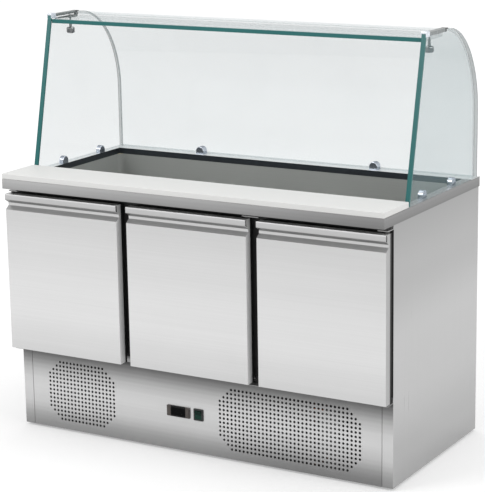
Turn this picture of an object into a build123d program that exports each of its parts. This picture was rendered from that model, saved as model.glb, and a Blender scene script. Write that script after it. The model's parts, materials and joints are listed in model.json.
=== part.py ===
from build123d import *
import math
import os

# Refrigerated prep table with three doors, an open pan well and a curved glass canopy.
# Millimetres. X is the width, Y runs from the doors (negative) to the back, Z is up.
# The origin lies on the floor, below the middle of the worktop.

# Overall size
WIDTH = 1365.0
DEPTH = 700.0
WORKTOP_Z = 852.0
FLOOR_GAP = 8.0

# Sheet and glass thicknesses
TOP_SHEET = 1.5
SKIN = 1.2
DOOR_SHEET = 1.5
SIDE_GLASS = 14.0
REAR_GLASS = 8.0
SHELF_GLASS = 12.0

# Fits
FIT = 0.05
SEAT_GAP = 0.3
PANEL_SEAM = 1.5
CUTOUT_CLEARANCE = 0.5
HOLE_FIT = 0.1

# Worktop
APRON = 32.0
FLANGE_GAP = 10.0
OVERHANG = 2.5
DOOR_RECESS = 70.0
WELL_SIDE_STRIP = 32.5
WELL_FRONT_STRIP = 130.0
WELL_REAR_STRIP = 65.0
LIP_DROP = 20.0
LIP_CORNER = 6.0
BOARD_DEPTH = 168.0
BOARD_THICK = 18.0
BOARD_EDGE = 2.5

# Cold compartment
DECK_Z = 275.0
FLOOR_THICK = 40.0
LINER_CORNER = 25.0
CORNER_POST = 36.0
REAR_FLANGE = 15.0
OPENING_TOP = 768.0
TRIM_THICK = 2.0
TRIM_BOTTOM = 296.0
TRIM_TOP = 804.5

# Doors
DOOR_COUNT = 3
DOOR_GAP = 37.5
DOOR_BOTTOM = 283.0
DOOR_TOP = 800.5
DOOR_FACE = 56.0
DOOR_BACK = 18.0
CARRIER_DEPTH = 10.0
GASKET_INSET = 14.0
GASKET_WIDTH = 16.0
GASKET_CORNER = 4.0
OPENING_LAP = 32.0
BULGE_DEPTH = 7.0
BULGE_MARGIN = 34.0
GROOVE_LOW = 748.5
GROOVE_SEAT = 760.5
GROOVE_HIGH = 770.0
GROOVE_DEPTH = 16.0
LIP_PROUD = 2.0
LIP_LOW = 781.5
GRIP_WALL = 30.0

# Door pivots
PIVOT_EDGE = 12.0
PIVOT_BEHIND = 31.0
PIN_R = 3.5
BUSH_WALL = 1.6
BUSH_FLANGE_R = 8.0
PIN_REACH = 20.0
BUSH_OVER = 2.0
BRACKET_THICK = 3.0
BRACKET_NOSE = 14.0
BRACKET_WIDE = 57.0
TOP_BRACKET_Z = 806.5
TOP_LEG = 28.0
BOTTOM_BRACKET_Z = 276.0
BOTTOM_LEG = 19.0
SCREW_R = 2.4
SCREW_HEAD_R = 4.2
SCREW_HEAD = 2.2
SCREW_LENGTH = 16.0
SCREW_CHAMFER = 0.8

# Lower front panel with its two punched fields and two cut-outs
HOLE_PITCH = 14.0
HOLE_R = 4.1
HOLE_ROWS = 15
LEFT_COLUMNS = 19
RIGHT_COLUMNS = 36
LEFT_FIELD_X = -447.5
RIGHT_FIELD_X = 324.5
FIELD_Z = 139.0
CORNER_CUT = 3
PANEL_RETURN = 18.0

# Air slots in the back panel
SLOT_BANKS_X = (-260.0, 60.0, 380.0)
SLOT_W = 220.0
SLOT_H = 6.0
SLOT_PITCH = 14.0
SLOT_ROWS = 10
SLOT_LOW = 60.0

# Controller and switch
CONTROLLER_X = -73.0
CONTROL_Z = 137.0
BEZEL_W = 85.0
BEZEL_H = 35.0
BEZEL_THICK = 5.0
BEZEL_CORNER = 2.0
BEZEL_CHAMFER = 0.8
CASE_W = 71.0
CASE_H = 29.0
CASE_DEPTH = 58.0
DISPLAY_W = 53.0
DISPLAY_H = 26.0
DISPLAY_THICK = 2.0
BUTTON_W = 10.0
BUTTON_H = 22.0
BUTTON_X = 34.0
BUTTON_PROUD = 1.0
BUTTON_DEPTH = 3.0
BUTTON_ROOM = 1.5
BUTTON_ROUND = 0.6
POST_R = 1.5
POST_LENGTH = 4.0
SWITCH_X = 1.0
SWITCH_W = 35.0
SWITCH_H = 39.0
SWITCH_RIM = 4.0
SWITCH_CORNER = 2.5
SWITCH_CHAMFER = 1.0
SWITCH_BODY_W = 28.0
SWITCH_BODY_H = 32.0
SWITCH_BODY_DEPTH = 26.0
ROCKER_W = 23.0
ROCKER_H = 27.0
ROCKER_TILT = 7.0
ROCKER_PROUD = 6.0
ROCKER_DIP = 2.0
ROCKER_BACK = 4.0
ROCKER_TAPER = 0.8
AXLE_R = 1.5
AXLE_END = 1.8
AXLE_POCKET = 2.0

# Feet
FOOT_R = 19.0
FOOT_PAD = 5.0
FOOT_CHAMFER = 1.5
FOOT_INSET = 45.0
STEM_R = 5.0
STEM_TOP = 30.0
NUT_R = 10.0
NUT_TOP = 26.0
TRAY_SHEET = 2.0
TRAY_EDGE = 22.0

# Canopy
GLASS_EDGE = 2.0
PANE_FOOT_Y = -178.0
PANE_TOP_Y = -66.0
PANE_TOP_Z = 1350.0
CURVE_START_Y = 92.0
CURVE_BACK_Y = 332.0
CURVE_HEIGHT = 285.0
REAR_INSET = 1.0
SHELF_FRONT_Y = -65.0
SHELF_DROP = 13.0
SHELF_LAP = 8.0
SHELF_SIDE_GAP = 1.0
REAR_PANE_FRONT_Y = 80.0
CLAMP_W = 30.0
CLAMP_H = 25.0
CLAMP_ROUND = 2.0
SIDE_CLAMPS_Y = (-38.0, 180.0)
REAR_CLAMP_X = 330.0
REAR_CLAMP_DEPTH = 24.0

# Channels over the side panes, with the studs and knobs that hold the shelf
CHEEK = 2.0
CHANNEL_PLATE = 3.0
CHANNEL_DROP = 8.0
CHEEK_DROP = 4.0
RAIL_W = 6.0
RAIL_HOLD = 4.0
RAIL_END_Y = 68.0
RAIL_BOSS_R = 5.5
CAP_START = 2.0
CAP_LENGTH = 25.0
CAP_RISE = 7.0
CAP_DROP = 10.0
CAP_CORNER = 3.0
END_Y = 86.0
TAB_W = 40.0
TAB_REACH = 27.5
TAB_THICK = 4.0
STUD_IN = 14.5
STUD_Y = 20.0
STUD_R = 2.5
STUD_PLAY = 0.5
STUD_HEAD_R = 5.5
STUD_HEAD = 4.0
KNOB_NECK_R = 4.5
KNOB_NECK = 21.0
KNOB_R = 13.5
KNOB_H = 20.0
KNOB_ROUND = 5.0
KNOB_BORE = 10.0
STUD_SHORT = 2.0

# Shelves inside
SHELF_Z = 560.0
WIRE_R = 1.6
RIM_R = 3.0
RIM_CORNER = 12.0
WIRE_PITCH = 26.0
CROSS_BARS = 3
SHELF_SIDE_CLEAR = 2.0
SHELF_BACK_Y = 270.0
RUNNER_LEG = 14.0
RUNNER_SHEET = 1.5
POST_W = 20.0
POST_DEPTH = 12.0
POST_TOP = 760.0

# Evaporator unit on the rear wall
EVAP_X = 0.0
EVAP_HALF = 160.0
EVAP_Z0 = 345.0
EVAP_H = 150.0
EVAP_DEPTH = 40.0
EVAP_ROWS = 5
COVER_DEPTH = 96.0
COVER_SHEET = 1.5
COVER_MARGIN = 14.0
EVAP_FAN_R = 60.0
EVAP_FAN_DEPTH = 16.0
EVAP_MOTOR_R = 24.0
EVAP_MOTOR_L = 26.0
EVAP_HUB_R = 14.0
EVAP_BLADES = 6
EVAP_FAN_AIR = 4.0
EVAP_FAN_STANDOFF = 6.0
GUARD_RINGS = (20.0, 34.0, 48.0)
GUARD_WIRE = 3.0
GUARD_TURNS = (0, 60, 120)
VENT_W = 60.0
VENT_H = 6.0
VENT_PITCH = 24.0
VENT_ROWS = 5
VENT_IN = 45.0
VENT_LOW = 28.0
STRAP_W = 12.0
STRAP_THICK = 3.0

# Cooling unit in the base
COND_X = 245.0
COND_HALF = 135.0
COND_H = 205.0
COND_FRONT_Y = -240.0
COND_DEPTH = 50.0
COND_ROWS = 7
COND_FAN_R = 88.0
COND_FAN_DEPTH = 26.0
COND_MOTOR_R = 40.0
COND_MOTOR_L = 60.0
COND_MOTOR_ROUND = 8.0
COND_HUB_R = 22.0
COND_BLADES = 5
COND_FAN_AIR = 3.0
SHROUD_SHEET = 2.0
SHROUD_LAP = 4.0
SHROUD_TURNS = (45, 135)
SHROUD_ARM_W = 14.0
SHROUD_ARM_THICK = 3.0
SHROUD_BORE_R = 8.0
PEDESTAL_W = 24.0
PEDESTAL_DEPTH = 12.0
BLADE_TURN = 28.0
BLADE_CHORD = 0.62
BLADE_THICK = 2.0
FIN_PITCH = 9.0
FIN_SHEET = 0.8
TUBE_R = 4.5
SHAFT_R = 4.0
COMP_X = 455.0
COMP_Y = 120.0
COMP_R = 74.0
COMP_H = 150.0
COMP_FOOT_Z = 28.0
MOUNT_R = 12.0
MOUNT_X = 58.0
MOUNT_Y = 43.0
COMP_CROWN = 40.0
COMP_HEEL = 20.0
COMP_SEAM = 4.0
COMP_PLATE = 3.0
COMP_PLATE_W = 140.0
COMP_PLATE_DEPTH = 111.0
TERMINAL_OUT = 26.0
TERMINAL_IN = 12.0
TERMINAL_W = 48.0
TERMINAL_LOW = 40.0
TERMINAL_H = 52.0
DRIP_W = 300.0
DRIP_D = 220.0
DRIP_H = 45.0
DRIP_WALL = 2.0
DRIP_CORNER = 12.0
DRIP_BEHIND = 50.0
PIPE_R = 4.0
PIPE_BEND = 9.0
TUBE_END = 6.0
RISER_OUT = 25.0
RISER_PITCH = 22.0
COMP_PORT = 30.0
LIQUID_OUT = 20.0
SUCTION_Z = 250.0
DISCHARGE_Z = 245.0
LIQUID_Z = 225.0
DRAIN_R = 8.0
DRAIN_WALL = 2.0
DRAIN_IN = 15.0
DRAIN_OFF_WALL = 20.0
DRAIN_AIR = 25.0
GLAND_X = -560.0
GLAND_Z = 120.0
GLAND_R = 11.0
GLAND_BORE = 5.0
GLAND_THREAD_R = 7.7
GLAND_OUT = 2.0
GLAND_IN = 14.0
GLAND_NUT = 10.0

# Places that follow from the sizes above
HALF_W = WIDTH / 2
HALF_D = DEPTH / 2
BODY_X = HALF_W - OVERHANG
FRONT_Y = -HALF_D + DOOR_RECESS
BACK_Y = HALF_D - OVERHANG
INNER_BACK_Y = BACK_Y - 2 * SKIN
BODY_TOP = WORKTOP_Z - TOP_SHEET
WELL_X = HALF_W - WELL_SIDE_STRIP
WELL_FRONT_Y = -HALF_D + WELL_FRONT_STRIP
WELL_BACK_Y = HALF_D - WELL_REAR_STRIP
LIP_Z = WORKTOP_Z - LIP_DROP
POST_X = BODY_X - CORNER_POST
FLOOR_Z = DECK_Z + FLOOR_THICK
DOOR_W = (WIDTH - (DOOR_COUNT - 1) * DOOR_GAP) / DOOR_COUNT
FACE_Y = FRONT_Y - DOOR_FACE
DOOR_BACK_Y = FRONT_Y - DOOR_BACK
PIVOT_Y = FACE_Y + PIVOT_BEHIND
TRAY_Z = FLOOR_GAP + TRAY_SHEET
FLANGE_TOP = WORKTOP_Z - APRON + TOP_SHEET
GLASS_OUT_X = HALF_W - GLASS_EDGE
GLASS_IN_X = GLASS_OUT_X - SIDE_GLASS
SHELF_TOP_Z = PANE_TOP_Z - SHELF_DROP
STUD_X = GLASS_IN_X - STUD_IN

# How far a cut runs past the face that it opens
PAST = 1.0

DOOR_NAMES = ("left", "centre", "right")
HINGE_SIDE = {"left": -1, "centre": 1, "right": 1}


def save(name, *solids):
    """Writes one sub-part, or a group of separate solids, under its node's name."""
    shape = solids[0] if len(solids) == 1 else Compound(children=list(solids))
    export_step(shape, f"parts/{name}.step")


def block(x0, x1, y0, y1, z0, z1):
    """A box between two corners."""
    centre = Pos((x0 + x1) / 2, (y0 + y1) / 2, (z0 + z1) / 2)
    return centre * Box(x1 - x0, y1 - y0, z1 - z0)


def rod_z(x, y, z0, z1, radius):
    """A round bar along Z."""
    return Pos(x, y, (z0 + z1) / 2) * Cylinder(radius, z1 - z0)


def rod_y(x, z, y0, y1, radius):
    """A round bar along Y."""
    return Pos(x, (y0 + y1) / 2, z) * Rot(90, 0, 0) * Cylinder(radius, y1 - y0)


def rod_x(y, z, x0, x1, radius):
    """A round bar along X."""
    return Pos((x0 + x1) / 2, y, z) * Rot(0, 90, 0) * Cylinder(radius, x1 - x0)


def along_x(face, x0, x1):
    """A profile drawn in (y, z), stretched from x0 to x1."""
    return extrude(Plane.YZ.offset(x0) * face, amount=x1 - x0)


def outline(*points):
    """A flat face inside a closed line of straight runs."""
    return make_face(Polyline(*points, close=True))


def mirrored(solid):
    """The same piece on the other side of the table."""
    return mirror(solid, about=Plane.YZ)


def door_span(index):
    """Left and right edge of a door, counted from the left."""
    left = -HALF_W + index * (DOOR_W + DOOR_GAP)
    return left, left + DOOR_W


def opening_span(index):
    """Left and right edge of the doorway behind a door."""
    left, right = door_span(index)
    return max(left + OPENING_LAP, -POST_X), min(right - OPENING_LAP, POST_X)


def pivot_x(name):
    """Where a door's pivot line stands."""
    left, right = door_span(DOOR_NAMES.index(name))
    return left + PIVOT_EDGE if HINGE_SIDE[name] < 0 else right - PIVOT_EDGE


def well_prism(grow, z0, z1, corner):
    """The pan well's outline, grown outwards, with its rear corners rounded."""
    body = block(-WELL_X - grow, WELL_X + grow, WELL_FRONT_Y - grow, WELL_BACK_Y + grow, z0, z1)
    upright = body.edges().filter_by(Axis.Z)
    return fillet(upright.group_by(Axis.Y)[-1], corner + grow)


def bracket_span(name):
    """Left and right edge of a door's hinge brackets."""
    if name == "centre":
        right_edge = door_span(1)[1]
        end = right_edge + DOOR_GAP - OVERHANG
        return end - BRACKET_WIDE, end
    inner, outer = POST_X + OVERHANG, BODY_X
    return (-outer, -inner) if HINGE_SIDE[name] < 0 else (inner, outer)


def screw_places():
    """Points (x, z) of the screws that hold the hinge brackets."""
    places = []
    for name in DOOR_NAMES:
        x0, x1 = bracket_span(name)
        spots = (x0 + (x1 - x0) * 0.25, x0 + (x1 - x0) * 0.75)
        low = BOTTOM_BRACKET_Z + BRACKET_THICK + (BOTTOM_LEG - BRACKET_THICK) / 2
        high = TOP_BRACKET_Z + TOP_LEG * 0.6
        places += [(x, z) for x in spots for z in (low, high)]
    return places


def screw_holes():
    """What the hinge screws need cut away."""
    radius = SCREW_R + HOLE_FIT
    start = FRONT_Y - BRACKET_THICK
    end = FRONT_Y + SCREW_LENGTH
    return [rod_y(x, z, start - PAST, end, radius) for x, z in screw_places()]


def make_worktop():
    """Folded steel top: plate, apron, flange under the overhang, and the well's lip."""
    body = block(-HALF_W, HALF_W, -HALF_D, HALF_D, WORKTOP_Z - APRON, WORKTOP_Z)
    body = fillet(body.edges().filter_by(Axis.Z), TOP_SHEET)
    body = fillet(body.edges().group_by(Axis.Z)[-1], TOP_SHEET * 0.6)
    inside = block(
        -HALF_W + TOP_SHEET, HALF_W - TOP_SHEET, -HALF_D + TOP_SHEET, HALF_D - TOP_SHEET,
        WORKTOP_Z - APRON, BODY_TOP,
    )
    lip = well_prism(TOP_SHEET, LIP_Z, BODY_TOP, LIP_CORNER)
    well = well_prism(0, LIP_Z, WORKTOP_Z, LIP_CORNER)
    flange = block(
        -HALF_W + TOP_SHEET, HALF_W - TOP_SHEET, -HALF_D + TOP_SHEET, FRONT_Y - FLANGE_GAP,
        WORKTOP_Z - APRON, FLANGE_TOP,
    )
    save("worktop", body - inside + flange + lip - well)


def make_cutting_board():
    """Loose board along the front edge."""
    board = block(-HALF_W, HALF_W, -HALF_D, -HALF_D + BOARD_DEPTH, WORKTOP_Z, WORKTOP_Z + BOARD_THICK)
    save("cutting_board", fillet(board.edges(), BOARD_EDGE))


def make_side_panels():
    """Outer side sheets with a front post flange and a narrow rear flange."""
    outer = block(POST_X, BODY_X, FRONT_Y, BACK_Y, FLOOR_GAP, BODY_TOP)
    bends = outer.edges().filter_by(Axis.Z).group_by(Axis.X)[-1]
    outer = fillet(bends, SKIN * 0.8)
    inside = block(POST_X, BODY_X - SKIN, FRONT_Y + SKIN, BACK_Y - SKIN, FLOOR_GAP, BODY_TOP)
    rear = block(POST_X, BODY_X - REAR_FLANGE, INNER_BACK_Y, BACK_Y, FLOOR_GAP, BODY_TOP)
    side = outer - inside - rear
    save("side_panel_right", side - screw_holes())
    save("side_panel_left", mirrored(side) - screw_holes())


def make_back_panel():
    """Rear sheet with two banks of air slots and the hole for the cable gland."""
    panel = block(-BODY_X + SKIN, BODY_X - SKIN, INNER_BACK_Y, INNER_BACK_Y + SKIN, FLOOR_GAP, BODY_TOP)
    slots = []
    for centre in SLOT_BANKS_X:
        for row in range(SLOT_ROWS):
            z = FLOOR_GAP + SLOT_LOW + row * SLOT_PITCH
            slots.append(Pos(centre, INNER_BACK_Y, z) * Box(SLOT_W, 4 * SKIN, SLOT_H))
    hole = rod_y(GLAND_X, GLAND_Z, INNER_BACK_Y - PAST, BACK_Y + PAST, GLAND_THREAD_R + HOLE_FIT)
    save("back_panel", panel - slots - hole)


def make_base_tray():
    """Bottom tray of the machine space, with a welded nut for each foot."""
    x, y0, y1 = BODY_X - SKIN, FRONT_Y + SKIN, INNER_BACK_Y
    tray = block(-x, x, y0, y1, FLOOR_GAP, TRAY_Z)
    for side in (-1, 1):
        inner, outer = sorted((side * (x - TRAY_SHEET), side * x))
        tray += block(inner, outer, y0, y1, FLOOR_GAP, TRAY_Z + TRAY_EDGE)
    for fx, fy in foot_places():
        tray += rod_z(fx, fy, TRAY_Z, NUT_TOP, NUT_R)
        tray -= rod_z(fx, fy, FLOOR_GAP, NUT_TOP, STEM_R)
    save("base_tray", tray)


def foot_places():
    """The four levelling feet, seen from above."""
    x = BODY_X - FOOT_INSET
    return [(sx * x, y) for y in (FRONT_Y + FOOT_INSET, BACK_Y - FOOT_INSET) for sx in (-1, 1)]


def make_feet():
    """Turned pads on threaded stems."""
    names = ("front_left", "front_right", "rear_left", "rear_right")
    for name, (x, y) in zip(names, foot_places()):
        pad = rod_z(x, y, 0, FOOT_PAD, FOOT_R)
        pad = chamfer(pad.edges().filter_by(GeomType.CIRCLE).group_by(Axis.Z)[-1], FOOT_CHAMFER)
        save(f"foot_{name}", pad + rod_z(x, y, FOOT_PAD, STEM_TOP, STEM_R - FIT))


def make_deck():
    """Sheet under the cold compartment."""
    deck = block(-BODY_X + SKIN, BODY_X - SKIN, FRONT_Y + SKIN, INNER_BACK_Y, DECK_Z, DECK_Z + SKIN)
    save("deck_plate", deck - floor_holes())


def floor_holes():
    """Passages for the drain and the two refrigerant lines through the insulated floor."""
    radius_drain = DRAIN_R + CUTOUT_CLEARANCE
    radius_pipe = PIPE_R + CUTOUT_CLEARANCE
    low, high = DECK_Z - PAST, FLOOR_Z + PAST
    holes = [rod_z(*drain_place(), low, high, radius_drain)]
    holes += [rod_z(x, y, low, high, radius_pipe) for x, y in riser_places()]
    return holes


def drain_place():
    """Where the melt-water drain runs down."""
    return EVAP_X - EVAP_HALF + DRAIN_IN, WELL_BACK_Y - DRAIN_OFF_WALL


def riser_places():
    """Where the suction and liquid lines pass the floor, beside the evaporator."""
    x, y = EVAP_X + EVAP_HALF + RISER_OUT, coil_port_y()
    return [(x + RISER_PITCH, y), (x, y)]


def make_foam():
    """Insulation between skins and liner, and the core of the front overhang."""
    body = block(-BODY_X + SKIN, BODY_X - SKIN, FRONT_Y + SKIN, INNER_BACK_Y, DECK_Z + SKIN, BODY_TOP)
    body -= well_prism(SKIN, FLOOR_Z - SKIN, LIP_Z, LINER_CORNER)
    body -= well_prism(TOP_SHEET, LIP_Z, BODY_TOP, LIP_CORNER)
    for index in range(DOOR_COUNT):
        x0, x1 = opening_span(index)
        body -= block(x0 - SKIN, x1 + SKIN, FRONT_Y, WELL_FRONT_Y, FLOOR_Z - SKIN, OPENING_TOP + SKIN)
    body -= screw_holes() + floor_holes()
    core = block(
        -HALF_W + TOP_SHEET, HALF_W - TOP_SHEET, -HALF_D + TOP_SHEET, FRONT_Y - FLANGE_GAP,
        FLANGE_TOP, BODY_TOP,
    )
    save("cabinet_foam", body, core)


def make_liner():
    """Inner tank: floor, walls up to the worktop's lip, and a front wall with doorways."""
    tank = well_prism(SKIN, FLOOR_Z - SKIN, LIP_Z, LINER_CORNER)
    tank -= well_prism(0, FLOOR_Z, LIP_Z, LINER_CORNER)
    for index in range(DOOR_COUNT):
        x0, x1 = opening_span(index)
        tank -= block(x0, x1, WELL_FRONT_Y - 2 * SKIN, WELL_FRONT_Y, FLOOR_Z, OPENING_TOP)
    save("inner_liner", tank - floor_holes())


def make_front_frame():
    """Steel face around the doorways: two rails and four posts, with returns back to the liner."""
    behind, back = FRONT_Y + SKIN, WELL_FRONT_Y - SKIN
    spans = [opening_span(index) for index in range(DOOR_COUNT)]
    low = block(-POST_X, POST_X, FRONT_Y, behind, DECK_Z, FLOOR_Z)
    high = block(-POST_X, POST_X, FRONT_Y, behind, OPENING_TOP, BODY_TOP)
    for x0, x1 in spans:
        low += block(x0 - SKIN, x1 + SKIN, behind, back, FLOOR_Z - SKIN, FLOOR_Z)
        high += block(x0 - SKIN, x1 + SKIN, behind, back, OPENING_TOP, OPENING_TOP + SKIN)

    def upright(x0, x1, y0, y1):
        """A flat stretch of post that stands between the rails."""
        return block(x0, x1, y0, y1, FLOOR_Z, OPENING_TOP)

    first, last = spans[0][0], spans[-1][1]
    posts = [upright(first - SKIN, first, behind, back), upright(last, last + SKIN, behind, back)]
    for (_, left), (right, _) in zip(spans, spans[1:]):
        post = upright(left, right, FRONT_Y, behind)
        post += upright(left, left + SKIN, behind, back) + upright(right - SKIN, right, behind, back)
        posts.append(post)
    save("front_frame", low - screw_holes(), high - screw_holes(), *posts)


def make_frame_trim():
    """Black facing that the door seals close against."""
    x = BODY_X - OVERHANG
    trim = block(-x, x, FRONT_Y - TRIM_THICK, FRONT_Y, TRIM_BOTTOM, TRIM_TOP)
    for index in range(DOOR_COUNT):
        x0, x1 = opening_span(index)
        trim -= block(x0, x1, FRONT_Y - TRIM_THICK, FRONT_Y, FLOOR_Z, OPENING_TOP)
    save("frame_trim", trim)


def field_holes(centre_x, columns):
    """Punched field of round holes with its corners stepped off."""
    holes = []
    for column in range(columns):
        edge_x = min(column, columns - 1 - column)
        for row in range(HOLE_ROWS):
            edge_z = min(row, HOLE_ROWS - 1 - row)
            if edge_x + edge_z < CORNER_CUT:
                continue
            x = centre_x + (column - (columns - 1) / 2) * HOLE_PITCH
            z = FIELD_Z + (row - (HOLE_ROWS - 1) / 2) * HOLE_PITCH
            holes.append((x, z))
    return holes


def make_grille_panel():
    """Lower front panel, punched for air, with a folded top edge."""
    x, top = POST_X - PANEL_SEAM, DECK_Z - PANEL_SEAM
    middle = (FLOOR_GAP + top) / 2
    sheet = Plane.XZ * Pos(0, middle) * Rectangle(2 * x, top - FLOOR_GAP)
    places = field_holes(LEFT_FIELD_X, LEFT_COLUMNS) + field_holes(RIGHT_FIELD_X, RIGHT_COLUMNS)
    outer = sheet.faces()[0].outer_wire()
    rings = [Wire.make_circle(HOLE_R, Plane(origin=(hx, 0, hz), z_dir=(0, 1, 0))) for hx, hz in places]
    face = Face(outer, rings)
    plate = Pos(0, FRONT_Y, 0) * extrude(face, amount=SKIN, dir=(0, 1, 0))
    plate += block(-x, x, FRONT_Y + SKIN, FRONT_Y + PANEL_RETURN, top - SKIN, top)
    gap = CUTOUT_CLEARANCE
    case = (CASE_W + 2 * gap, CASE_H + 2 * gap)
    switch = (SWITCH_BODY_W + 2 * gap, SWITCH_BODY_H + 2 * gap)
    for cx, (w, h) in ((CONTROLLER_X, case), (SWITCH_X, switch)):
        plate -= Pos(cx, FRONT_Y, CONTROL_Z) * Box(w, 4 * SKIN, h)
    save("grille_panel", plate)


def door_profile():
    """Side view of a door body, and of the grip folded onto its top edge."""
    grip_y = FACE_Y + DOOR_FACE - DOOR_BACK - GRIP_WALL
    seat_y = FACE_Y + GROOVE_DEPTH
    lip_y = FACE_Y - LIP_PROUD
    rise = (LIP_LOW - GROOVE_HIGH) / (seat_y - lip_y)
    meet_z = GROOVE_HIGH + (seat_y - grip_y) * rise
    body = outline(
        (FACE_Y, DOOR_BOTTOM), (FACE_Y, GROOVE_LOW), (seat_y, GROOVE_SEAT), (seat_y, GROOVE_HIGH),
        (grip_y, meet_z), (grip_y, DOOR_TOP), (DOOR_BACK_Y, DOOR_TOP), (DOOR_BACK_Y, DOOR_BOTTOM),
    )
    grip = outline(
        (grip_y, meet_z), (lip_y, LIP_LOW), (lip_y, DOOR_TOP), (grip_y, DOOR_TOP),
    )
    return body, grip


def pivot_bush(x, z_face, direction):
    """Flanged sleeve that turns on a bracket's pin, standing on a door edge at z_face."""
    reach = gap_to_bracket(direction) - SEAT_GAP
    sleeve = (z_face, z_face - direction * (PIN_REACH + BUSH_OVER))
    flange = (z_face, z_face + direction * reach)
    outer_r = PIN_R + FIT + BUSH_WALL
    bush = rod_z(x, PIVOT_Y, min(sleeve), max(sleeve), outer_r)
    bush += rod_z(x, PIVOT_Y, min(flange), max(flange), BUSH_FLANGE_R)
    low, high = min(*sleeve, *flange), max(*sleeve, *flange)
    return bush - rod_z(x, PIVOT_Y, low - PAST, high + PAST, PIN_R + FIT)


def gap_to_bracket(direction):
    """Free height between a door edge and the bracket plate that faces it."""
    if direction > 0:
        return TOP_BRACKET_Z - DOOR_TOP
    return DOOR_BOTTOM - BOTTOM_BRACKET_Z - BRACKET_THICK


def bush_hole(x):
    """Room for both bushes in a door."""
    radius = PIN_R + FIT + BUSH_WALL + HOLE_FIT / 2
    depth = PIN_REACH + BUSH_OVER + CUTOUT_CLEARANCE
    low = rod_z(x, PIVOT_Y, DOOR_BOTTOM - PAST, DOOR_BOTTOM + depth, radius)
    high = rod_z(x, PIVOT_Y, DOOR_TOP - depth, DOOR_TOP + PAST, radius)
    return low + high


def make_door(name):
    """One door: folded skin with its grip, foam-backed inner panel, seal on its carrier, and bushes."""
    x0, x1 = door_span(DOOR_NAMES.index(name))
    x = pivot_x(name)
    body, grip = door_profile()
    t = DOOR_SHEET
    carrier_y = DOOR_BACK_Y - CARRIER_DEPTH
    cavity = offset(body, -t, kind=Kind.INTERSECTION)
    mouth = block(x0 + t, x1 - t, carrier_y - 2 * t, DOOR_BACK_Y, DOOR_BOTTOM + t, DOOR_TOP - t)
    filling = along_x(cavity, x0 + t, x1 - t) + mouth
    rear = block(x0, x1, carrier_y, DOOR_BACK_Y, DOOR_BOTTOM, DOOR_TOP)
    skin = along_x(body + grip, x0, x1) - filling - rear
    skin -= along_x(offset(grip, -t, kind=Kind.INTERSECTION), x0, x1)
    save(f"door_{name}_skin", skin - bush_hole(x))

    g = GASKET_INSET
    w = g + GASKET_WIDTH
    middle = block(x0 + w, x1 - w, carrier_y, DOOR_BACK_Y, DOOR_BOTTOM + w, DOOR_TOP - w)
    margin = BULGE_MARGIN
    bulge = block(
        x0 + margin, x1 - margin, DOOR_BACK_Y, DOOR_BACK_Y + BULGE_DEPTH,
        DOOR_BOTTOM + margin, DOOR_TOP - margin,
    )
    bulge = chamfer(bulge.edges().group_by(Axis.Y)[-1], BULGE_DEPTH * 0.6)
    save(f"door_{name}_inner_panel", filling - rear + middle + bulge - bush_hole(x))

    back = FRONT_Y - TRIM_THICK - SEAT_GAP
    seal = block(x0 + g, x1 - g, DOOR_BACK_Y, back, DOOR_BOTTOM + g, DOOR_TOP - g)
    seal = fillet(seal.edges().filter_by(Axis.Y), GASKET_CORNER)
    seal -= block(x0 + w, x1 - w, DOOR_BACK_Y, back, DOOR_BOTTOM + w, DOOR_TOP - w)
    save(f"door_{name}_gasket", rear - middle + seal - bush_hole(x))

    bushes = (pivot_bush(x, DOOR_TOP, 1), pivot_bush(x, DOOR_BOTTOM, -1))
    save(f"door_{name}_bushes", *bushes)


def make_hinge_brackets():
    """Angle brackets above and below each door's hinge corner, each with its pin."""
    brackets = []
    nose_y = PIVOT_Y - BRACKET_NOSE
    for name in DOOR_NAMES:
        x0, x1 = bracket_span(name)
        x = pivot_x(name)
        leg_y = FRONT_Y - BRACKET_THICK
        z0, z1 = BOTTOM_BRACKET_Z, BOTTOM_BRACKET_Z + BRACKET_THICK
        low = block(x0, x1, nose_y, FRONT_Y, z0, z1)
        low += block(x0, x1, leg_y, FRONT_Y, z0, z0 + BOTTOM_LEG)
        low += rod_z(x, PIVOT_Y, z1, DOOR_BOTTOM + PIN_REACH, PIN_R)
        z0, z1 = TOP_BRACKET_Z, TOP_BRACKET_Z + BRACKET_THICK
        high = block(x0, x1, nose_y, FRONT_Y, z0, z1)
        high += block(x0, x1, leg_y, FRONT_Y, z0, z0 + TOP_LEG)
        high += rod_z(x, PIVOT_Y, DOOR_TOP - PIN_REACH, z0, PIN_R)
        brackets += [low - screw_holes(), high - screw_holes()]
    save("hinge_brackets", *brackets)


def make_hinge_screws():
    """Screws through the brackets into the frame."""
    screws = []
    for x, z in screw_places():
        seat = FRONT_Y - BRACKET_THICK
        head = rod_y(x, z, seat - SCREW_HEAD, seat, SCREW_HEAD_R)
        head = chamfer(head.edges().filter_by(GeomType.CIRCLE).group_by(Axis.Y)[0], SCREW_CHAMFER)
        screws.append(head + rod_y(x, z, seat, seat + SCREW_LENGTH, SCREW_R))
    save("hinge_screws", *screws)


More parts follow.
